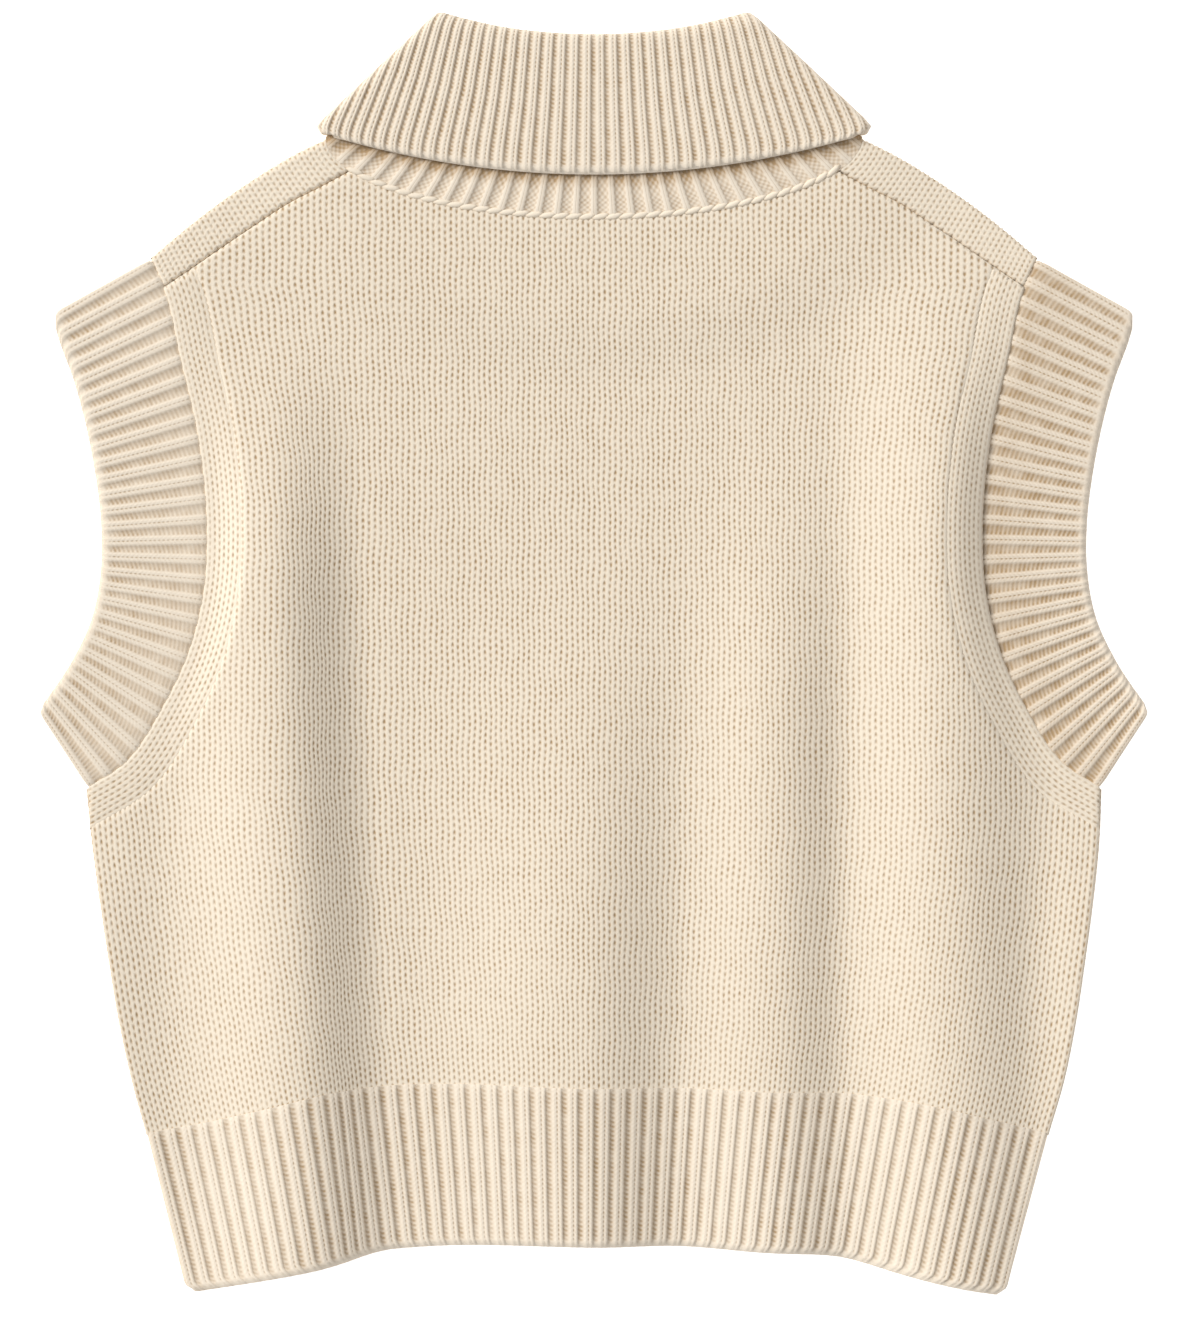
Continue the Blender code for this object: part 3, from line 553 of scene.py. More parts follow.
# %% Where a body panel's stitches go
BODY_COLUMNS = 94
BODY_ROWS = 133
BODY_HALF = 253.5
BODY_FOOT = -217.3
NARROWEST = 60.0
NARROW_HALF = 192.4
SEAM_GAP = 0.4
HEM_BEND = 150.0  # how far above the hem the rows still follow it
SIDE_FOOT = -240.8  # where the sides end at the hem
SEAM_TOP = 183.0  # where the back's armhole seam ends at the shoulder
GATHER_TOP = 175.0
GATHER_FULL = 20.0


def neck_line(x, depth):
    return NECK_TOP - depth * np.sqrt(np.maximum(1.0 - (x / NECK_HALF) ** 2, 0.0))


def back_top(x):
    return np.minimum(neck_line(x, NECK_BACK_DEPTH) + 0.9,
                      height_over(SHOULDER, np.abs(x)) - 0.2)


def side_half(x, y):
    """Half width of the body on the side that x is on."""
    return np.where(x < 0.0, -reach_at(SIDE[-1], y), reach_at(SIDE[1], y))


def gather(x, y):
    """Crowd the columns on the steep side of the largest soft fold, as they look from above."""
    crest = mix(-166.0, -137.0, (GATHER_TOP - y) / (GATHER_TOP - FOLDS_END))
    off = x - crest - 19.0
    full = 8.0 * ease((GATHER_TOP - y) / (GATHER_TOP - GATHER_FULL))
    return x - full * (np.tanh(off / 14.0) - np.tanh(off / 32.0))


def body_place(column, row, top_line, highest):
    """Where a stitch lies, seen from above, and which stitch of the panel it really is."""
    flat_x = (2.0 * column / BODY_COLUMNS - 1.0) * BODY_HALF
    flat_y = BODY_FOOT + row * ROW
    hem_x = gather(flat_x * side_half(flat_x, SIDE_FOOT) / BODY_HALF, -225.0)
    low = 1.0 - ease((flat_y - BODY_FOOT) / HEM_BEND)
    free = flat_y + (height_over(HEM_LINE, hem_x) - BODY_FOOT + SEAM_GAP) * low
    y = free
    for _ in range(12):  # the width and the upper edge depend on each other
        half = np.where(y < UNDERARM, side_half(flat_x, y),
                        reach_at(SEAM, np.minimum(y, highest)) - SEAM_GAP)
        widest = np.where(y < UNDERARM, BODY_HALF, np.where(y < NARROWEST, half, NARROW_HALF))
        kept = np.clip(flat_x, -widest, widest)
        fan = np.where(y > NARROWEST,
                       (half / NARROW_HALF - 1.0) * (kept / NARROW_HALF) ** 2, 0.0)
        x = np.where(y < UNDERARM, kept * half / BODY_HALF, kept * (1.0 + fan))
        y = np.minimum(free, top_line(x))
    return x, y, half, (kept / BODY_HALF + 1.0) * 0.5 * BODY_COLUMNS, row + (y - free) / ROW


def chevron(column):
    """How far, in rows, a stitch hangs down at its middle."""
    return CHEVRON * (np.abs(2.0 * (column - np.floor(column + 1e-6)) - 1.0) - 0.5)


# %% Knit the back
EDGE_DROP = 2.6  # radius of the rounding along the sides
SEAM_END = np.array([mix(SEAM[-1], SEAM[-1] + (SEAM[-1] - SEAM[-12]), k) for k in (1.0, 2.0, 3.0)])
SEAM_RUN = np.vstack((SEAM[::3], SEAM_END))


def seam_distance(x, y):
    """Distance to the armhole seam, for stitches near it; 99 for the others."""
    distance = np.full_like(x, 99.0)
    close = (np.abs(x) > 150.0) & (y > -115.0)
    spots = np.column_stack((np.abs(x[close]), y[close]))
    distance[close] = np.hypot(spots[:, :1] - SEAM_RUN[:, 0], spots[:, 1:] - SEAM_RUN[:, 1]).min(axis=1)
    return distance


def place_back(slab):
    column, row, face = slab.T
    kept = body_place(column, row, back_top, SEAM_TOP)[3]
    x, y, half, kept, level = body_place(column, row + chevron(kept) * (row > 0.0),
                                         back_top, SEAM_TOP)
    stitch_row = level - chevron(kept) * (row > 0.0)
    x = gather(x, y)
    top = back_top(x)
    inland = ease(np.minimum(half - np.abs(x), np.minimum(top - y, y - BODY_FOOT)) / 25.0)
    # no stitch of soft yarn lies quite straight
    x = x + inland * 0.25 * (np.sin(0.83 * row + 2.0 * np.sin(0.41 * column))
                             + np.sin(0.29 * row + column))
    y = y + inland * 0.30 * np.sin(0.9 * column + 2.0 * np.sin(0.33 * row))
    outer = face > 0.5
    side = y < UNDERARM
    to_side = np.maximum(half - np.abs(x), 0.0)
    rim = np.where(side, half - np.abs(x), np.minimum(half - np.abs(x), top - y))
    height = WALL + 0.3 - plain_dip(kept, stitch_row)
    height = height - roll(np.maximum(rim, 0.0), np.where(side, EDGE_DROP, 1.0))
    # the bands along the armholes lie here, so the back makes room for them
    height = height - 1.5 * (1.0 - ease((seam_distance(x, y) - 15.5) / 4.0)) * (rim > 0.5)
    z = cloth_floor(x, y) + np.where(outer, height, 0.0)
    z = np.where(side & (rim < 0.5), np.where(outer, 3.0, 0.6), z)
    # painted shade along the sides, heavier on the left, where the lamp lights the rolled edge too
    # brightly
    painted_shade = np.where(x < 0.0, 0.26, 0.10) * near(to_side, 4.0) * side
    # painted light: the stitches' painted dots are made fainter where a fold faces the lamp
    gap_shade_strength = 1.0 - 0.20 * turned_to_lamp(x, y)
    return np.column_stack((x, y, z)), np.column_stack((kept, stitch_row)), gap_shade_strength, painted_shade


back = lay_down("back_knit", stitch_slab(BODY_COLUMNS, BODY_ROWS, (4, 2), (2, 7)),
                place_back, plain_yarn)
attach(back, "root")
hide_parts("back_panel")

# %% [markdown]
# ## Bands of stitches along the armholes
# Beside each armhole the real cloth is shaped a few stitches in from its edge, so four
# columns follow the seam and the straight columns of the back run into them. Each band is a
# narrow slab of its own, laid along the seam and a little proud of the back.

# %% Bands along the armhole seams
SIDES = (("left", -1), ("right", 1))
BAND_COLUMNS = 4
BAND_ROWS = 86
BAND_STITCH = 4.9
BAND_OVERLAP = 1.0  # the band's edge rolls over the start of the armhole rib
BAND_PAST = 26.0  # how far past the underarm a band would run, if the side didn't end it
SEAM_START = 12.0  # millimetres along the seam from the shoulder fold to the shoulder seam
SEAM_REACH = np.linspace(0.0, lengths(SEAM)[-1], len(SEAM))


def beside_seam(distance, inside):
    """A point at a length along the armhole seam, moved into the back."""
    held = np.clip(distance, 0.0, SEAM_REACH[-1])
    x, y = (np.interp(held, SEAM_REACH, SEAM[:, axis]) for axis in (0, 1))
    before, after = np.clip(held - 4.0, 0.0, None), np.clip(held + 4.0, None, SEAM_REACH[-1])
    run_x, run_y = (np.interp(after, SEAM_REACH, SEAM[:, axis])
                    - np.interp(before, SEAM_REACH, SEAM[:, axis]) for axis in (0, 1))
    length = np.hypot(run_x, run_y)
    run_x, run_y = run_x / length, run_y / length
    past = distance - held
    return x + run_x * past + run_y * inside, y + run_y * past - run_x * inside


def band_limit(inside):
    """How far along the seam a band's column reaches before it meets the side."""
    steps = np.linspace(SEAM_REACH[-1] - 10.0, SEAM_REACH[-1] + 40.0, 400)
    x, y = beside_seam(steps, inside)
    within = x < reach_at(SIDE[1], y) - 1.2
    return steps[within][-1] if within.any() else SEAM_REACH[-1]


def band_placer(sign):
    def place(slab):
        column, row, face = slab.T
        across = column if sign > 0 else BAND_COLUMNS - column
        inside = (BAND_COLUMNS - across) * BAND_STITCH - BAND_OVERLAP
        swing = chevron(across) * ROW
        full = SEAM_REACH[-1] + BAND_PAST - SEAM_START
        free = SEAM_REACH[-1] + BAND_PAST - row / BAND_ROWS * full - swing
        limits = {d: band_limit(d) for d in np.unique(inside)}
        distance = np.minimum(free, np.array([limits[d] for d in inside]))
        row = row + (free - distance) * BAND_ROWS / full  # past the side the stitches fall together
        x, y = beside_seam(distance, inside)
        y = np.minimum(y, back_top(x))
        x = sign * x
        height = WALL + 0.3 - plain_dip(across, row)
        height += mix(0.3, -0.9, np.clip(inside / (BAND_COLUMNS * BAND_STITCH), 0.0, 1.0) ** 4)
        to_side = np.maximum(reach_at(SIDE[1], y) - np.abs(x), 0.0)
        height -= roll(inside + BAND_OVERLAP, 2.0) + roll(np.maximum(back_top(x) - y, 0.0), 1.6)
        height -= roll(to_side, EDGE_DROP)
        z = cloth_floor(x, y) + np.where(face > 0.5, height, 0.6)
        # painted shade along the side, heavier on the left, where the lamp lights the rolled edge too
        # brightly
        painted_shade = (0.26 if sign < 0 else 0.10) * near(to_side, 4.0) * (y < UNDERARM + 8.0)
        gap_shade_strength = 0.85 - 0.40 * near(inside, 5.0)  # the outermost stitches lie close together
        return np.column_stack((x, y, z)), np.column_stack((across, row)), gap_shade_strength, painted_shade
    return place


for side_name, sign in SIDES:
    band = lay_down(f"{side_name}_armhole_columns",
                    stitch_slab(BAND_COLUMNS, BAND_ROWS, (4, 2), (1, 2)),
                    band_placer(sign), plain_yarn)
    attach(band, "root")

# %% [markdown]
# ## Front panel and its shoulders
# The front lies face down under the back. Its shoulders are longer than the back's, so they
# fold over the top and are joined to the back a little below it. The flat part and
# the two turned-over strips are knitted the same way but laid by different functions.

# %% Knit the flat part of the front
FRONT_TOP = 197.8
FRONT_NECK_GAP = 0.8


def front_top(x):
    return np.minimum(neck_line(x, NECK_FRONT_DEPTH + FRONT_NECK_GAP),
                      height_over(SHOULDER_TOP, np.abs(x)) - 3.2)


def place_front(slab):
    column, row, face = slab.T
    mirrored = BODY_COLUMNS - column  # the front shows its stitches downwards
    x, y, half, kept, level = body_place(mirrored, row, front_top, FRONT_TOP)
    x = x * (1.0 - 0.8 / BODY_HALF)
    rim = np.minimum(half - 0.8 - np.abs(x), front_top(x) - y)
    low = plain_dip(kept, level) + roll(np.maximum(rim, 0.0), 1.0)
    z = np.where(face > 0.5, low, WALL)
    return (np.column_stack((x, y, z)), np.column_stack((kept, level)),
            np.ones_like(x), np.zeros_like(x))


front = lay_down("front_knit", stitch_slab(BODY_COLUMNS, BODY_ROWS, (4, 1), (2, 7)),
                 place_front, plain_yarn)
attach(front, "root")
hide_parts("front_panel")

# %% Shoulders turned over onto the back
SHOULDER_COLUMNS = 20
SHOULDER_ROWS = 11
UNDER_ROWS = 3.0
TURN_ROWS = 2.4


def shoulder_spot(t, w):
    """A point of the strip: t 0 at the neck and 1 at the armhole, w 0 at the fold, 1 at the seam."""
    top_x, top_y = along(SHOULDER_TOP, t)
    seam_x, seam_y = along(SHOULDER, t)
    x, y = mix(top_x, seam_x, w), mix(top_y, seam_y, w)
    turn = mix(0.5 * math.pi, math.asin(NECK_CORNER / NECK_HALF), w)
    gap = SEAM_GAP * (1.0 - w)
    near = (1.0 - t) ** 6
    end_x = mix(SHOULDER_TOP[0, 0], SHOULDER[0, 0], w)
    end_y = mix(SHOULDER_TOP[0, 1], SHOULDER[0, 1], w)
    x = x + ((NECK_HALF + gap) * np.sin(turn) - end_x) * near
    y = y + (NECK_TOP - (NECK_BACK_DEPTH + gap) * np.cos(turn) - end_y) * near
    return x, y


def shoulder_placer(sign):
    def place(slab):
        column, row, face = slab.T
        t = column / SHOULDER_COLUMNS if sign < 0 else 1.0 - column / SHOULDER_COLUMNS
        row_on = row - chevron(column) * ((row > 0.0) & (row < SHOULDER_ROWS))
        fold_x, fold_y = shoulder_spot(t, np.zeros_like(t))
        seam_x, seam_y = shoulder_spot(t, np.ones_like(t))
        width = np.hypot(seam_x - fold_x, seam_y - fold_y)
        top = FOLD + neck_lift(fold_x, fold_y)
        radius = 0.5 * top
        depth = np.where(face > 0.5, plain_dip(column, row), WALL)
        turn = np.clip((row_on - UNDER_ROWS) / TURN_ROWS, 0.0, 1.0) * math.pi
        left = SHOULDER_ROWS - UNDER_ROWS - TURN_ROWS
        beyond = np.clip((row_on - UNDER_ROWS - TURN_ROWS) / left, 0.0, 1.0)
        before = np.clip(UNDER_ROWS - row_on, 0.0, None) * ROW
        inset = radius - (radius - depth) * np.sin(turn) + before + beyond * (width - radius)
        x, y = shoulder_spot(t, inset / width)
        lift = neck_lift(x, y) - neck_lift(fold_x, fold_y)
        z = radius - (radius - depth) * np.cos(turn) + lift * beyond
        rim = (1.0 - beyond) * (width - radius)
        outer_end = np.minimum(t, 1.0 - t) * 107.0
        drop = roll(rim, 1.8) * (turn >= math.pi - 1e-6)
        drop = drop + roll(outer_end, 1.0) * np.sign(z - radius)
        z = z - np.where(face > 0.5, drop, 0.0)
        # painted shade where the strip turns round the shoulder fold
        painted_shade = 0.15 * np.sin(np.clip(turn, 0.0, math.pi))
        return (np.column_stack((sign * x, y, z)), np.column_stack((column, row)),
                np.full_like(x, 0.75), painted_shade)
    return place


for side_name, sign in SIDES:
    strip = lay_down(f"{side_name}_shoulder_knit",
                     stitch_slab(SHOULDER_COLUMNS, SHOULDER_ROWS, (4, 3), (1, 1)),
                     shoulder_placer(sign), plain_yarn)
    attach(strip, "root")
    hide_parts("front_panel")

# %% [markdown]
# ## Hem rib
# The hem is knitted sideways-stretchy: each rib is two raised strands with a sunken purl
# gutter beside it. The ribs fill out again at the very edge, where the last row binds them.

# %% Knit the hem of the back and of the front
HEM_ROWS = 22
HEM_CORNER = 4.0
HEM_CORNER_ROW = 0.94
HEM_DEPTH = 78.0
HEM_WIDTH = 440.0
EDGE_ROUND = 2.4


def hem_spot(u, v):
    """u 0 at the left side and 1 at the right, v 0 at the top of the rib and 1 at its edge."""
    corner = HEM_CORNER * ease((v - HEM_CORNER_ROW) / (1.0 - HEM_CORNER_ROW))
    x_top = gather(mix(HEM_TOP[0][0], HEM_TOP[-1][0], u), -225.0)
    x_low = gather(mix(HEM_EDGE[0][0] + corner, HEM_EDGE[-1][0] - corner, u), -305.0)
    return mix(x_top, x_low, v), mix(height_over(HEM_LINE, x_top), height_over(HEM_LOW, x_low), v)


def place_hem(slab):
    column, row, face = slab.T
    column = rib_place(column)
    v = 1.0 - row / HEM_ROWS
    down, up = v * HEM_DEPTH, (1.0 - v) * HEM_DEPTH  # from the rib's first row and from its edge
    across = lean(column, HEM_RIBS)
    x, y = hem_spot(across / HEM_RIBS, v)
    y = y + 1.5 * (1.0 - v)  # the hem's first row is joined to the body's last one
    level = np.maximum(rib_height(column), 0.60 * near(up, 5.0))
    level = mix(0.35, level, ease(down / 2.5))
    side = np.minimum(across, HEM_RIBS - across) / HEM_RIBS * HEM_WIDTH
    height = mix(RIB_GUTTER, RIB_CREST, level) - roll(up, EDGE_ROUND) - roll(side, EDGE_DROP)
    outer = face > 0.5
    z = cloth_floor(x, y) + np.where(outer, height, 0.0)
    z = np.where(side < 0.1, np.where(outer, 2.6, 0.6), z)
    gap_shade_strength = ease((down + 1.0) / 2.5) * ease((up - 1.0) / 4.0) * ease(side / 3.0)
    # painted light: the ribs' painted gutters are made fainter where a fold faces the lamp
    gap_shade_strength = gap_shade_strength * (1.0 - 0.3 * turned_to_lamp(x, y))
    # painted shade along the sides and the lower edge, heavier at the left side, where the lamp lights
    # the rolled edge too brightly
    painted_shade = np.where(x < -190.0, 0.28, 0.12) * near(np.minimum(side, up), 4.0)
    return np.column_stack((x, y, z)), np.column_stack((column, row)), gap_shade_strength, painted_shade


def place_front_hem(slab):
    column, row, face = slab.T
    column = rib_place(column)
    v = 1.0 - row / HEM_ROWS
    x, y = hem_spot(1.0 - column / HEM_RIBS, v)
    x = x * (1.0 - 0.8 / BODY_HALF)
    low = 0.9 * (1.0 - rib_height(column)) + roll((1.0 - v) * HEM_DEPTH, 1.2)
    z = np.where(face > 0.5, np.maximum(low, 0.0), WALL)
    return (np.column_stack((x, y, z)), np.column_stack((column, row)),
            np.ones_like(x), np.zeros_like(x))


hem = lay_down("hem_knit", stitch_slab(HEM_RIBS, HEM_ROWS, (8, 2), (1, 2)), place_hem, rib_yarn)
front_hem = lay_down("front_hem_knit", stitch_slab(HEM_RIBS, HEM_ROWS, (8, 1), (1, 2)),
                     place_front_hem, rib_yarn)
for piece, node in ((hem, "hem_rib_back"), (front_hem, "hem_rib_front")):
    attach(piece, "root")
    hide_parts(node)

# %% [markdown]
# ## Armhole ribs
# Each armhole has a short rib tube, laid flat, so it folds over at the shoulder and at
# the underarm. The slab goes once round the tube: over the top layer, round the fold at the
# underarm, back below and round the fold at the shoulder, where its two ends meet.

# %% Knit the two armhole ribs
ROUND_RIBS = 2 * ARMHOLE_RIBS + 2
TUBE_ROWS = 15
TUBE_WIDTH = 50.0
TUBE_TOP = LAYER + RIB_CREST
SEAM_LENGTH = 296.0
EDGE_LENGTH = 212.0
RIB_SLANT = 0.06  # the ribs slant down a little from the seam to the edge
TUBE_CORNER = 4.5
TUBE_OVERLAP = 0.8  # the rib starts a little inside the armhole's edge


def tube_spot(t, w):
    """t 0 at the shoulder and 1 at the underarm, w 0 at the seam and 1 at the outer edge."""
    near_x, near_y = along(SEAM, t)
    far_x, far_y = along(EDGE, t + RIB_SLANT * np.sin(np.pi * t))
    share = mix(-TUBE_OVERLAP / np.hypot(far_x - near_x, far_y - near_y), 1.0, w)
    return mix(near_x, far_x, share), mix(near_y, far_y, share)


def tube_placer(sign):
    def place(slab):
        column, row, face = slab.T
        column = rib_place(column + 0.5) - 0.5  # a rib, not a gutter, lies along each fold
        around = column if sign > 0 else ROUND_RIBS - column
        w = row / TUBE_ROWS
        radius = 0.5 * TUBE_TOP
        bulge = radius / mix(SEAM_LENGTH, EDGE_LENGTH, w)
        ribs = ARMHOLE_RIBS
        start, edge = w * TUBE_WIDTH, (1.0 - w) * TUBE_WIDTH  # from the seam and from the outer edge
        corner = TUBE_CORNER - roll(edge, TUBE_CORNER)  # the folds' outer corners are rounded
        first = bulge + (TUBE_CORNER - corner) / EDGE_LENGTH
        share = np.where(around <= ribs + 0.5, around / ribs, (2 * ribs + 1 - around) / ribs)
        share = np.clip(share, 0.0, 1.0)
        turn = np.clip(around - ribs, 0.0, 1.0) + np.clip(around - 2 * ribs - 1, 0.0, 1.0)
        turn = turn * math.pi
        rib = widen(around + 0.5, mix(1.35, 1.0, w))
        level = np.maximum(rib_height(rib), 0.60 * near(edge, 5.0)) - 0.60 * near(start, 7.0)
        below = 0.5 - 0.5 * np.cos(turn)
        depth = (RIB_CREST - RIB_GUTTER) * (1.0 - level) * mix(1.0, 0.5, below)
        depth = depth + roll(edge, EDGE_ROUND) + roll(start, 1.5)
        depth = np.where(face > 0.5, depth, radius - 0.2)
        out = np.where(share > 0.5, 1.0, -1.0) * (radius - depth) / radius * np.abs(np.sin(turn))
        t = mix(first, 1.0 - first, share) + bulge * out
        x, y = tube_spot(t, w)
        z = radius + (radius - depth) * np.cos(turn) + neck_lift(x, y)
        # painted light and shade: the dots are painted fainter on the left tube, which faces the lamp,
        # and stronger on the right
        lamp_side_dots = mix(0.62, 1.0, w) if sign < 0 else mix(0.85, 1.15, w)  # the lamp is on the left
        gap_shade_strength = ease((edge - 2.0) / 4.0) * lamp_side_dots * (1.0 - 0.7 * np.abs(np.sin(turn)))
        # painted shade at the outer edge and round both folds, heavier on the left tube, whose lamp-lit
        # edge would be too bright; the right tube is painted darker near its seam, as it gets less
        # light
        painted_shade = (0.24 if sign < 0 else 0.10) * np.maximum(near(edge, 4.0), np.abs(np.sin(turn)))
        painted_shade = painted_shade + (sign > 0) * (0.05 + 0.15 * near(w, 0.85))  # the right tube gets less light
        return np.column_stack((sign * x, y, z)), np.column_stack((rib, row)), gap_shade_strength, painted_shade
    return place


for side_name, sign in SIDES:
    bm = stitch_slab(ROUND_RIBS, TUBE_ROWS, (8, 2), (1, 3))
    open_ends(bm, ROUND_RIBS)
    tube = lay_down(f"{side_name}_armhole_knit", bm, tube_placer(sign), rib_yarn)
    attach(tube, "root")
    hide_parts(f"{side_name}_armhole_rib")

# %% [markdown]
# ## Collar
# The collar is a tube of rib, sewn to the neckline and turned down over itself. A knitter would
# call its hidden part the stand and its outer part the fall. Laid flat, the tube has a fold at
# each side, and its ribs run off round those folds. The rings below give its two faces.

# %% Rings of the collar
# half width, Y at the side folds, at the back, at the front, roundness of back and front,
# Z of the back, Z of the front, distance between ribs
COLLAR_OUTSIDE = np.array((
    (131.5, 257.6, 239.4, 192.9, 1.0, 1.5, 11.4, 0.3, 7.5),
    (136.0, 259.4, 240.9, 194.2, 1.0, 1.5, 11.3, 0.3, 7.49),
    (138.0, 262.8, 244.2, 197.2, 1.0, 1.5, 11.2, 0.3, 7.47),
    (134.6, 266.7, 249.3, 202.3, 1.0, 1.5, 11.1, 0.3, 7.4),
    (106.5, 293.3, 273.0, 226.0, 1.0, 1.5, 10.6, 0.3, 6.9),
    (84.0, 314.2, 305.1, 258.7, 1.0, 1.5, 10.1, 0.3, 6.4),
    (81.2, 317.0, 307.6, 261.2, 1.0, 1.5, 9.3, 0.9, 6.35),
    (77.2, 319.6, 308.3, 261.9, 1.0, 1.5, 7.9, 2.6, 6.35),
    (73.5, 318.5, 307.2, 260.8, 1.0, 1.5, 6.4, 4.3, 6.35),
    (69.4, 309.8, 302.0, 255.5, 1.0, 1.5, 5.4, 5.1, 6.35),
    (96.4, 285.8, 262.0, 216.0, 0.85, 1.2, 5.4, 5.1, 6.9),
    (130.0, 257.3, 217.4, 171.3, 0.50, 0.50, 5.4, 5.1, 7.6)))
COLLAR_INSIDE = np.array((
    (130.5, 257.0, 238.2, 191.8, 1.0, 1.5, 9.8, 1.6, 7.5),
    (133.6, 258.8, 239.6, 193.2, 1.0, 1.5, 9.6, 1.7, 7.49),
    (134.6, 261.6, 242.8, 196.2, 1.0, 1.5, 9.4, 1.9, 7.47),
    (130.8, 265.2, 247.9, 201.2, 1.0, 1.5, 9.3, 1.9, 7.4),
    (103.5, 290.3, 270.0, 223.5, 1.0, 1.5, 8.9, 1.9, 6.9),
    (79.4, 309.4, 300.5, 254.0, 1.0, 1.5, 8.3, 1.9, 6.4),
    (77.0, 311.4, 303.0, 256.5, 1.0, 1.5, 8.2, 1.9, 6.35),
    (74.0, 312.8, 303.8, 257.3, 1.0, 1.5, 7.7, 2.4, 6.35),
    (73.4, 312.0, 303.0, 256.5, 1.0, 1.5, 7.3, 2.9, 6.35),
    (75.0, 310.0, 301.0, 254.5, 1.0, 1.5, 7.35, 2.8, 6.35),
    (98.6, 288.6, 262.0, 216.0, 0.85, 1.2, 7.4, 2.7, 6.9),
    (132.1, 257.3, 217.4, 171.3, 0.50, 0.50, 7.4, 2.7, 7.6)))
COLLAR_SPOTS = np.array((0.0, 0.5, 1.5, 3.0, 10.0, 19.2, 20.2, 21.2, 22.2, 23.2, 24.6, 26.0))  # rows
COLLAR_RIBS = 80
COLLAR_ROWS = 26
CROWDING = 1.2  # above 1, the ribs crowd together towards the side folds
LINE_POINTS = 160
FOLD_POINTS = 16


def collar_line(rings, row):
    """Half of a ring, from the middle of the back round the side fold to the middle of the front."""
    half, side, back_y, front_y, square, under, z_back, z_front, pitch = (
        np.interp(row, COLLAR_SPOTS, rings[:, k]) for k in range(9))
    turn = np.linspace(0.0, 0.5 * math.pi, LINE_POINTS)
    x = half * np.sin(turn)
    level = np.cos(turn) ** 2
    over = np.column_stack((x, side - (side - back_y) * level**square, np.full_like(x, z_back)))
    below = np.column_stack((x, side - (side - front_y) * level**under,
                             np.full_like(x, z_front)))
    radius = 0.5 * (z_back - z_front)

    def shorten(line):
        reach = lengths(line)
        at = np.linspace(0.0, reach[-1] - radius, LINE_POINTS)
        return np.column_stack([np.interp(at, reach, line[:, k]) for k in range(3)])

    over, below = shorten(over), shorten(below)
    start, end = over[-1], below[-1]
    tip = np.array((half, side, 0.0))
    away = tip - 0.5 * (start + end)
    away[2] = 0.0
    away = away / np.linalg.norm(away) * radius
    angle = np.linspace(0.0, math.pi, FOLD_POINTS + 2)[1:-1, None]
    fold = mix(start, end, 0.5 - 0.5 * np.cos(angle)) + away * np.sin(angle)
    line = np.vstack((over, fold, below[::-1]))
    reach = lengths(line)
    return line, reach, reach[len(over) + FOLD_POINTS], pitch


def collar_spot(rings, rib, row):
    """A point of one face of the collar; rib 0 is the middle of the back."""
    spot = np.empty((len(rib), 3))
    for value in np.unique(row):
        pick = row == value
        line, reach, turned, pitch = collar_line(rings, value)
        count = np.abs(rib[pick])
        turned_ribs = CROWDING * turned / pitch
        last = 0.5 * COLLAR_RIBS
        ahead = turned + (count - turned_ribs) / (last - turned_ribs) * (reach[-1] - turned)
        beside = np.clip(1.0 - count / turned_ribs, 0.0, 1.0)
        at = np.where(count < turned_ribs, turned * (1.0 - beside**CROWDING), ahead)
        for axis in range(3):
            spot[pick, axis] = np.interp(at, reach, line[:, axis])
    spot[:, 0] *= np.where(rib < 0.0, -1.0, 1.0)
    return spot


# %% Knit the collar
COLLAR_RELIEF = 1.0


def place_collar(slab):
    column, row, face = slab.T
    column = rib_place(column)
    rib = lean(column, COLLAR_RIBS) - 0.5 * COLLAR_RIBS
    outer = face > 0.5
    spot = collar_spot(COLLAR_INSIDE, rib, row)
    o_rib, o_row = rib[outer], row[outer]
    base = collar_spot(COLLAR_OUTSIDE, o_rib, o_row)
    step = 0.02
    sideways = (collar_spot(COLLAR_OUTSIDE, o_rib + step, o_row)
                - collar_spot(COLLAR_OUTSIDE, o_rib - step, o_row))
    upwards = (collar_spot(COLLAR_OUTSIDE, o_rib, np.minimum(o_row + step, COLLAR_ROWS))
               - collar_spot(COLLAR_OUTSIDE, o_rib, np.maximum(o_row - step, 0.0)))
    normal = np.cross(sideways, upwards)
    normal /= np.maximum(np.linalg.norm(normal, axis=1, keepdims=True), 1e-9)
    level = rib_height(column[outer])
    level = np.maximum(level, 0.40 * near(o_row * ROW, 4.0))
    level = mix(level, 0.75, 0.4 * ease((o_row - 19.0) / 2.0))
    level = mix(level, 0.75, 0.95 * ease((0.97 - normal[:, 2]) / 0.6) * (o_row < 22.0))
    hidden = ease((o_row - 22.0) / 1.5)
    lift = mix(-0.4 + COLLAR_RELIEF * level - 0.5 * roll(o_row * ROW, EDGE_ROUND), 0.0, hidden)
    below = ease((4.0 - base[:, 2]) / 3.0)
    lift = mix(lift, np.minimum(lift - COLLAR_RELIEF + 0.4, 0.3), below)
    upwards /= np.maximum(np.linalg.norm(upwards, axis=1, keepdims=True), 1e-9)
    knob = (0.9 * rib_height(column[outer]) - 0.5) * near(o_row * ROW, 5.0)
    spot[outer] = base + normal * lift[:, None] - upwards * knob[:, None]
    spot[:, 2] = np.maximum(spot[:, 2], 0.0)
    gap_shade_strength = ease((row * ROW - 1.0) / 3.0)
    gap_shade_strength[outer] *= 1.0 - 0.5 * ease((0.9 - normal[:, 2]) / 0.6)
    # painted shade where the collar turns down into its side folds
    painted_shade = np.zeros_like(row)
    painted_shade[outer] = 0.22 * near(normal[:, 2], 0.8)
    return spot, np.column_stack((column, row)), gap_shade_strength, painted_shade


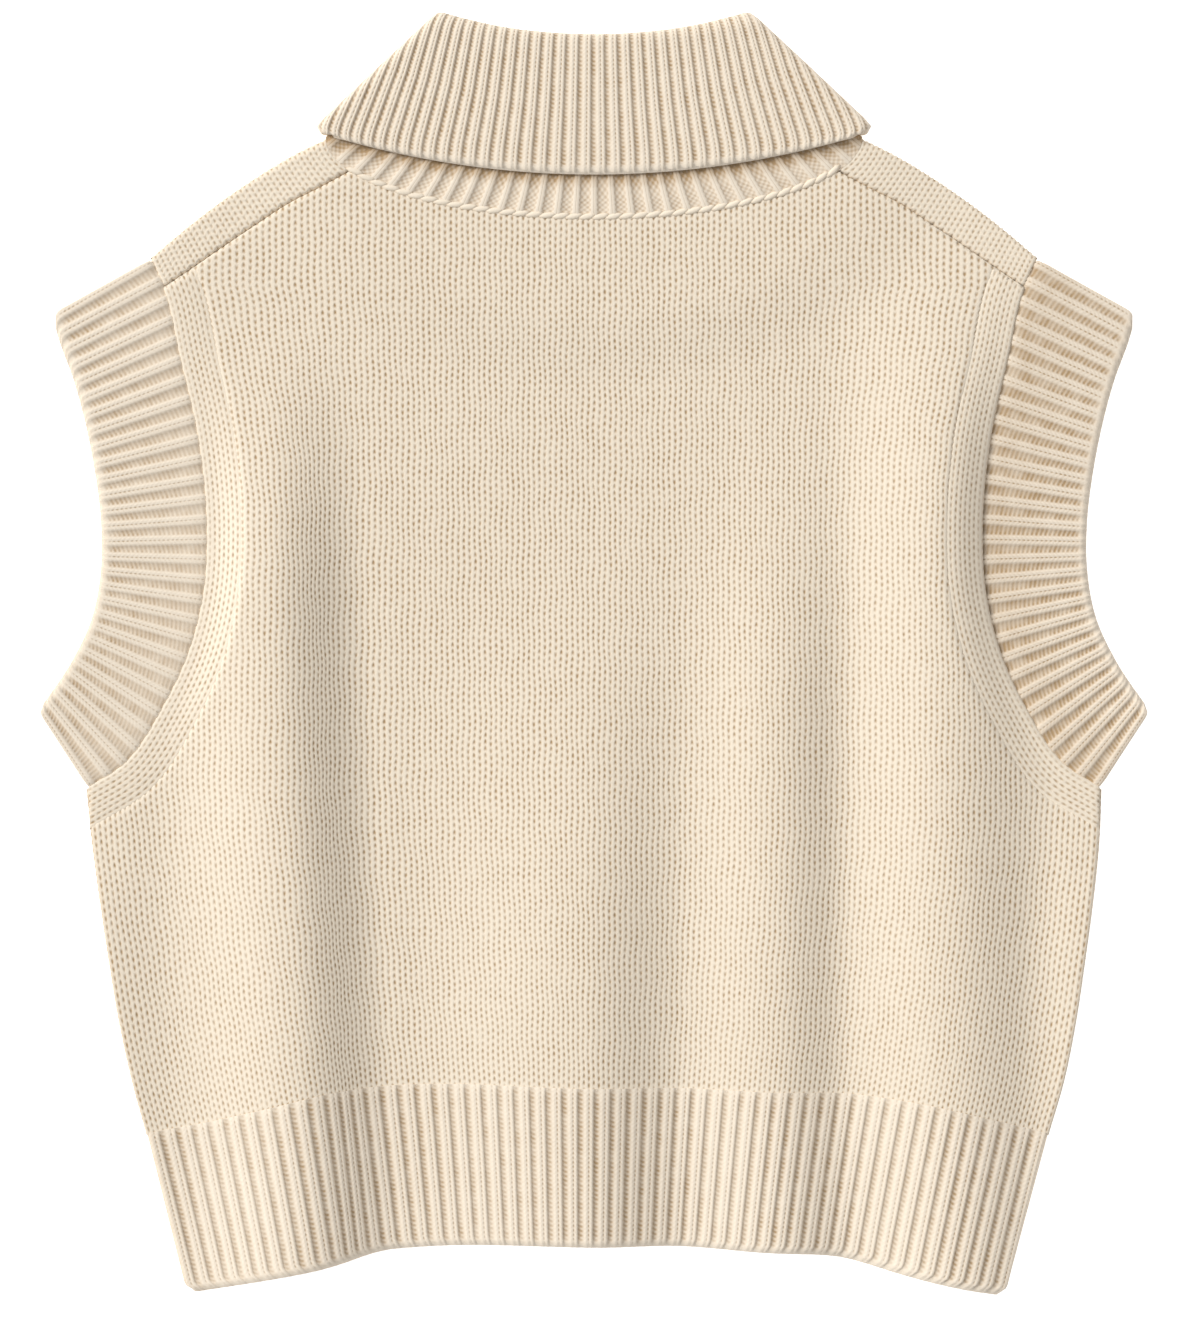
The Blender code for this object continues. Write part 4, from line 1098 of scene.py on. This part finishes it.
bm = stitch_slab(COLLAR_RIBS, COLLAR_ROWS, (8, 2), (1, 1))
open_ends(bm, COLLAR_RIBS)
collar = lay_down("collar_knit", bm, place_collar, rib_yarn)
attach(collar, "root")
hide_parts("collar")

# %% Knit the strip of the stand that shows below the fall
STAND_RIBS = 31
STAND_ROWS = 10
STAND_RINGS = np.array(((133.6, 257.3, 216.0, 0.50, 7.4), (126.0, 263.3, 226.4, 0.58, 7.4),
                        (114.4, 274.2, 243.0, 0.70, 7.4), (98.6, 288.6, 262.0, 0.85, 7.4)))


def place_stand(slab):
    column, row, face = slab.T
    column = rib_place(column)
    spot = np.empty((len(column), 3))
    for value in np.unique(row):
        pick = row == value
        half, side, middle, square, z = (
            np.interp(value / STAND_ROWS * 2.6, np.arange(4), STAND_RINGS[:, k])
            for k in range(5))
        turn = np.linspace(-0.5 * math.pi, 0.5 * math.pi, 400)
        line_x = half * np.sin(turn)
        line_y = side - (side - middle) * (np.cos(turn) ** 2) ** square
        reach = lengths(np.column_stack((line_x, line_y)))
        at = column[pick] / STAND_RIBS * reach[-1]
        spot[pick, 0] = np.interp(at, reach, line_x)
        spot[pick, 1] = np.interp(at, reach, line_y)
        spot[pick, 2] = z
    height = 0.2 + 1.2 * rib_height(widen(column, 1.7)) * mix(0.2, 1.0, ease(row / 1.5))
    spot[:, 2] += np.where(face > 0.5, height, -0.8)
    half, side, middle = COLLAR_OUTSIDE[0, :3]
    fall = side - (side - middle) * (1.0 - np.minimum(np.abs(spot[:, 0]) / half, 1.0) ** 2)
    below_fall = 0.70 * near(fall - spot[:, 1], 10.0)  # little light gets in under the fall
    return spot, np.column_stack((column, row)), np.ones_like(row), below_fall


stand = lay_down("collar_stand_knit", stitch_slab(STAND_RIBS, STAND_ROWS, (8, 2), (1, 1)),
                 place_stand, stretched_yarn)
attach(stand, "root")

# %% [markdown]
# ## Linking chain round the neck
# The collar is linked to the neckline stitch by stitch, which leaves a chain of long pale
# stitches along the seam. Each is one small low sphere, stretched and turned along the seam.

# %% Chain stitches
CHAIN_PITCH = 6.5
CHAIN_SIZE = (4.9, 1.5, 1.0)

chain_mesh = bpy.data.meshes.new("neck_chain")
bm = bmesh.new()
stitches = bm.loops.layers.uv.new("stitches")
turn = np.linspace(-0.5 * math.pi, 0.5 * math.pi, 600)
line_x, line_y = NECK_HALF * np.sin(turn), NECK_TOP - NECK_BACK_DEPTH * np.cos(turn) + 0.6
reach = lengths(np.column_stack((line_x, line_y)))
count = int(reach[-1] / CHAIN_PITCH)
sewn = 0
for k in range(count):
    at = (k + 0.5) * reach[-1] / count
    x, y = np.interp(at, reach, line_x), np.interp(at, reach, line_y)
    if abs(x) > NECK_CORNER:  # from there on the shoulders hide the seam
        continue
    sewn += 1
    ahead = (np.interp(at + 1.0, reach, line_x) - np.interp(at - 1.0, reach, line_x),
             np.interp(at + 1.0, reach, line_y) - np.interp(at - 1.0, reach, line_y))
    made = bmesh.ops.create_uvsphere(bm, u_segments=10, v_segments=6, radius=1.0)["verts"]
    bmesh.ops.scale(bm, vec=CHAIN_SIZE, verts=made)
    turned = math.atan2(ahead[1], ahead[0]) + 0.20
    from_z = mathutils.Matrix.Rotation(turned, 3, "Z")
    bmesh.ops.rotate(bm, matrix=from_z, verts=made)
    bmesh.ops.translate(bm, vec=(x, y, 7.8), verts=made)
    for face in {face for vert in made for face in vert.link_faces}:
        for corner in face.loops:
            off = (corner.vert.co.x - x) * ahead[0] + (corner.vert.co.y - y) * ahead[1]
            corner[stitches].uv = (0.5 + 0.5 * off / math.hypot(*ahead) / CHAIN_SIZE[0], k)
bmesh.ops.scale(bm, vec=(MM, MM, MM), verts=bm.verts)
bm.to_mesh(chain_mesh)
bm.free()
chain_mesh.attributes.new("gap_shade_strength", "FLOAT", "POINT").data.foreach_set(
    "value", np.ones(len(chain_mesh.vertices)))
chain_mesh.materials.append(chain_yarn)
chain_mesh.shade_smooth()
chain = bpy.data.objects.new("neck_chain", chain_mesh)
bpy.context.scene.collection.objects.link(chain)
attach(chain, "root")
print(f"neck_chain: {sewn} stitches")
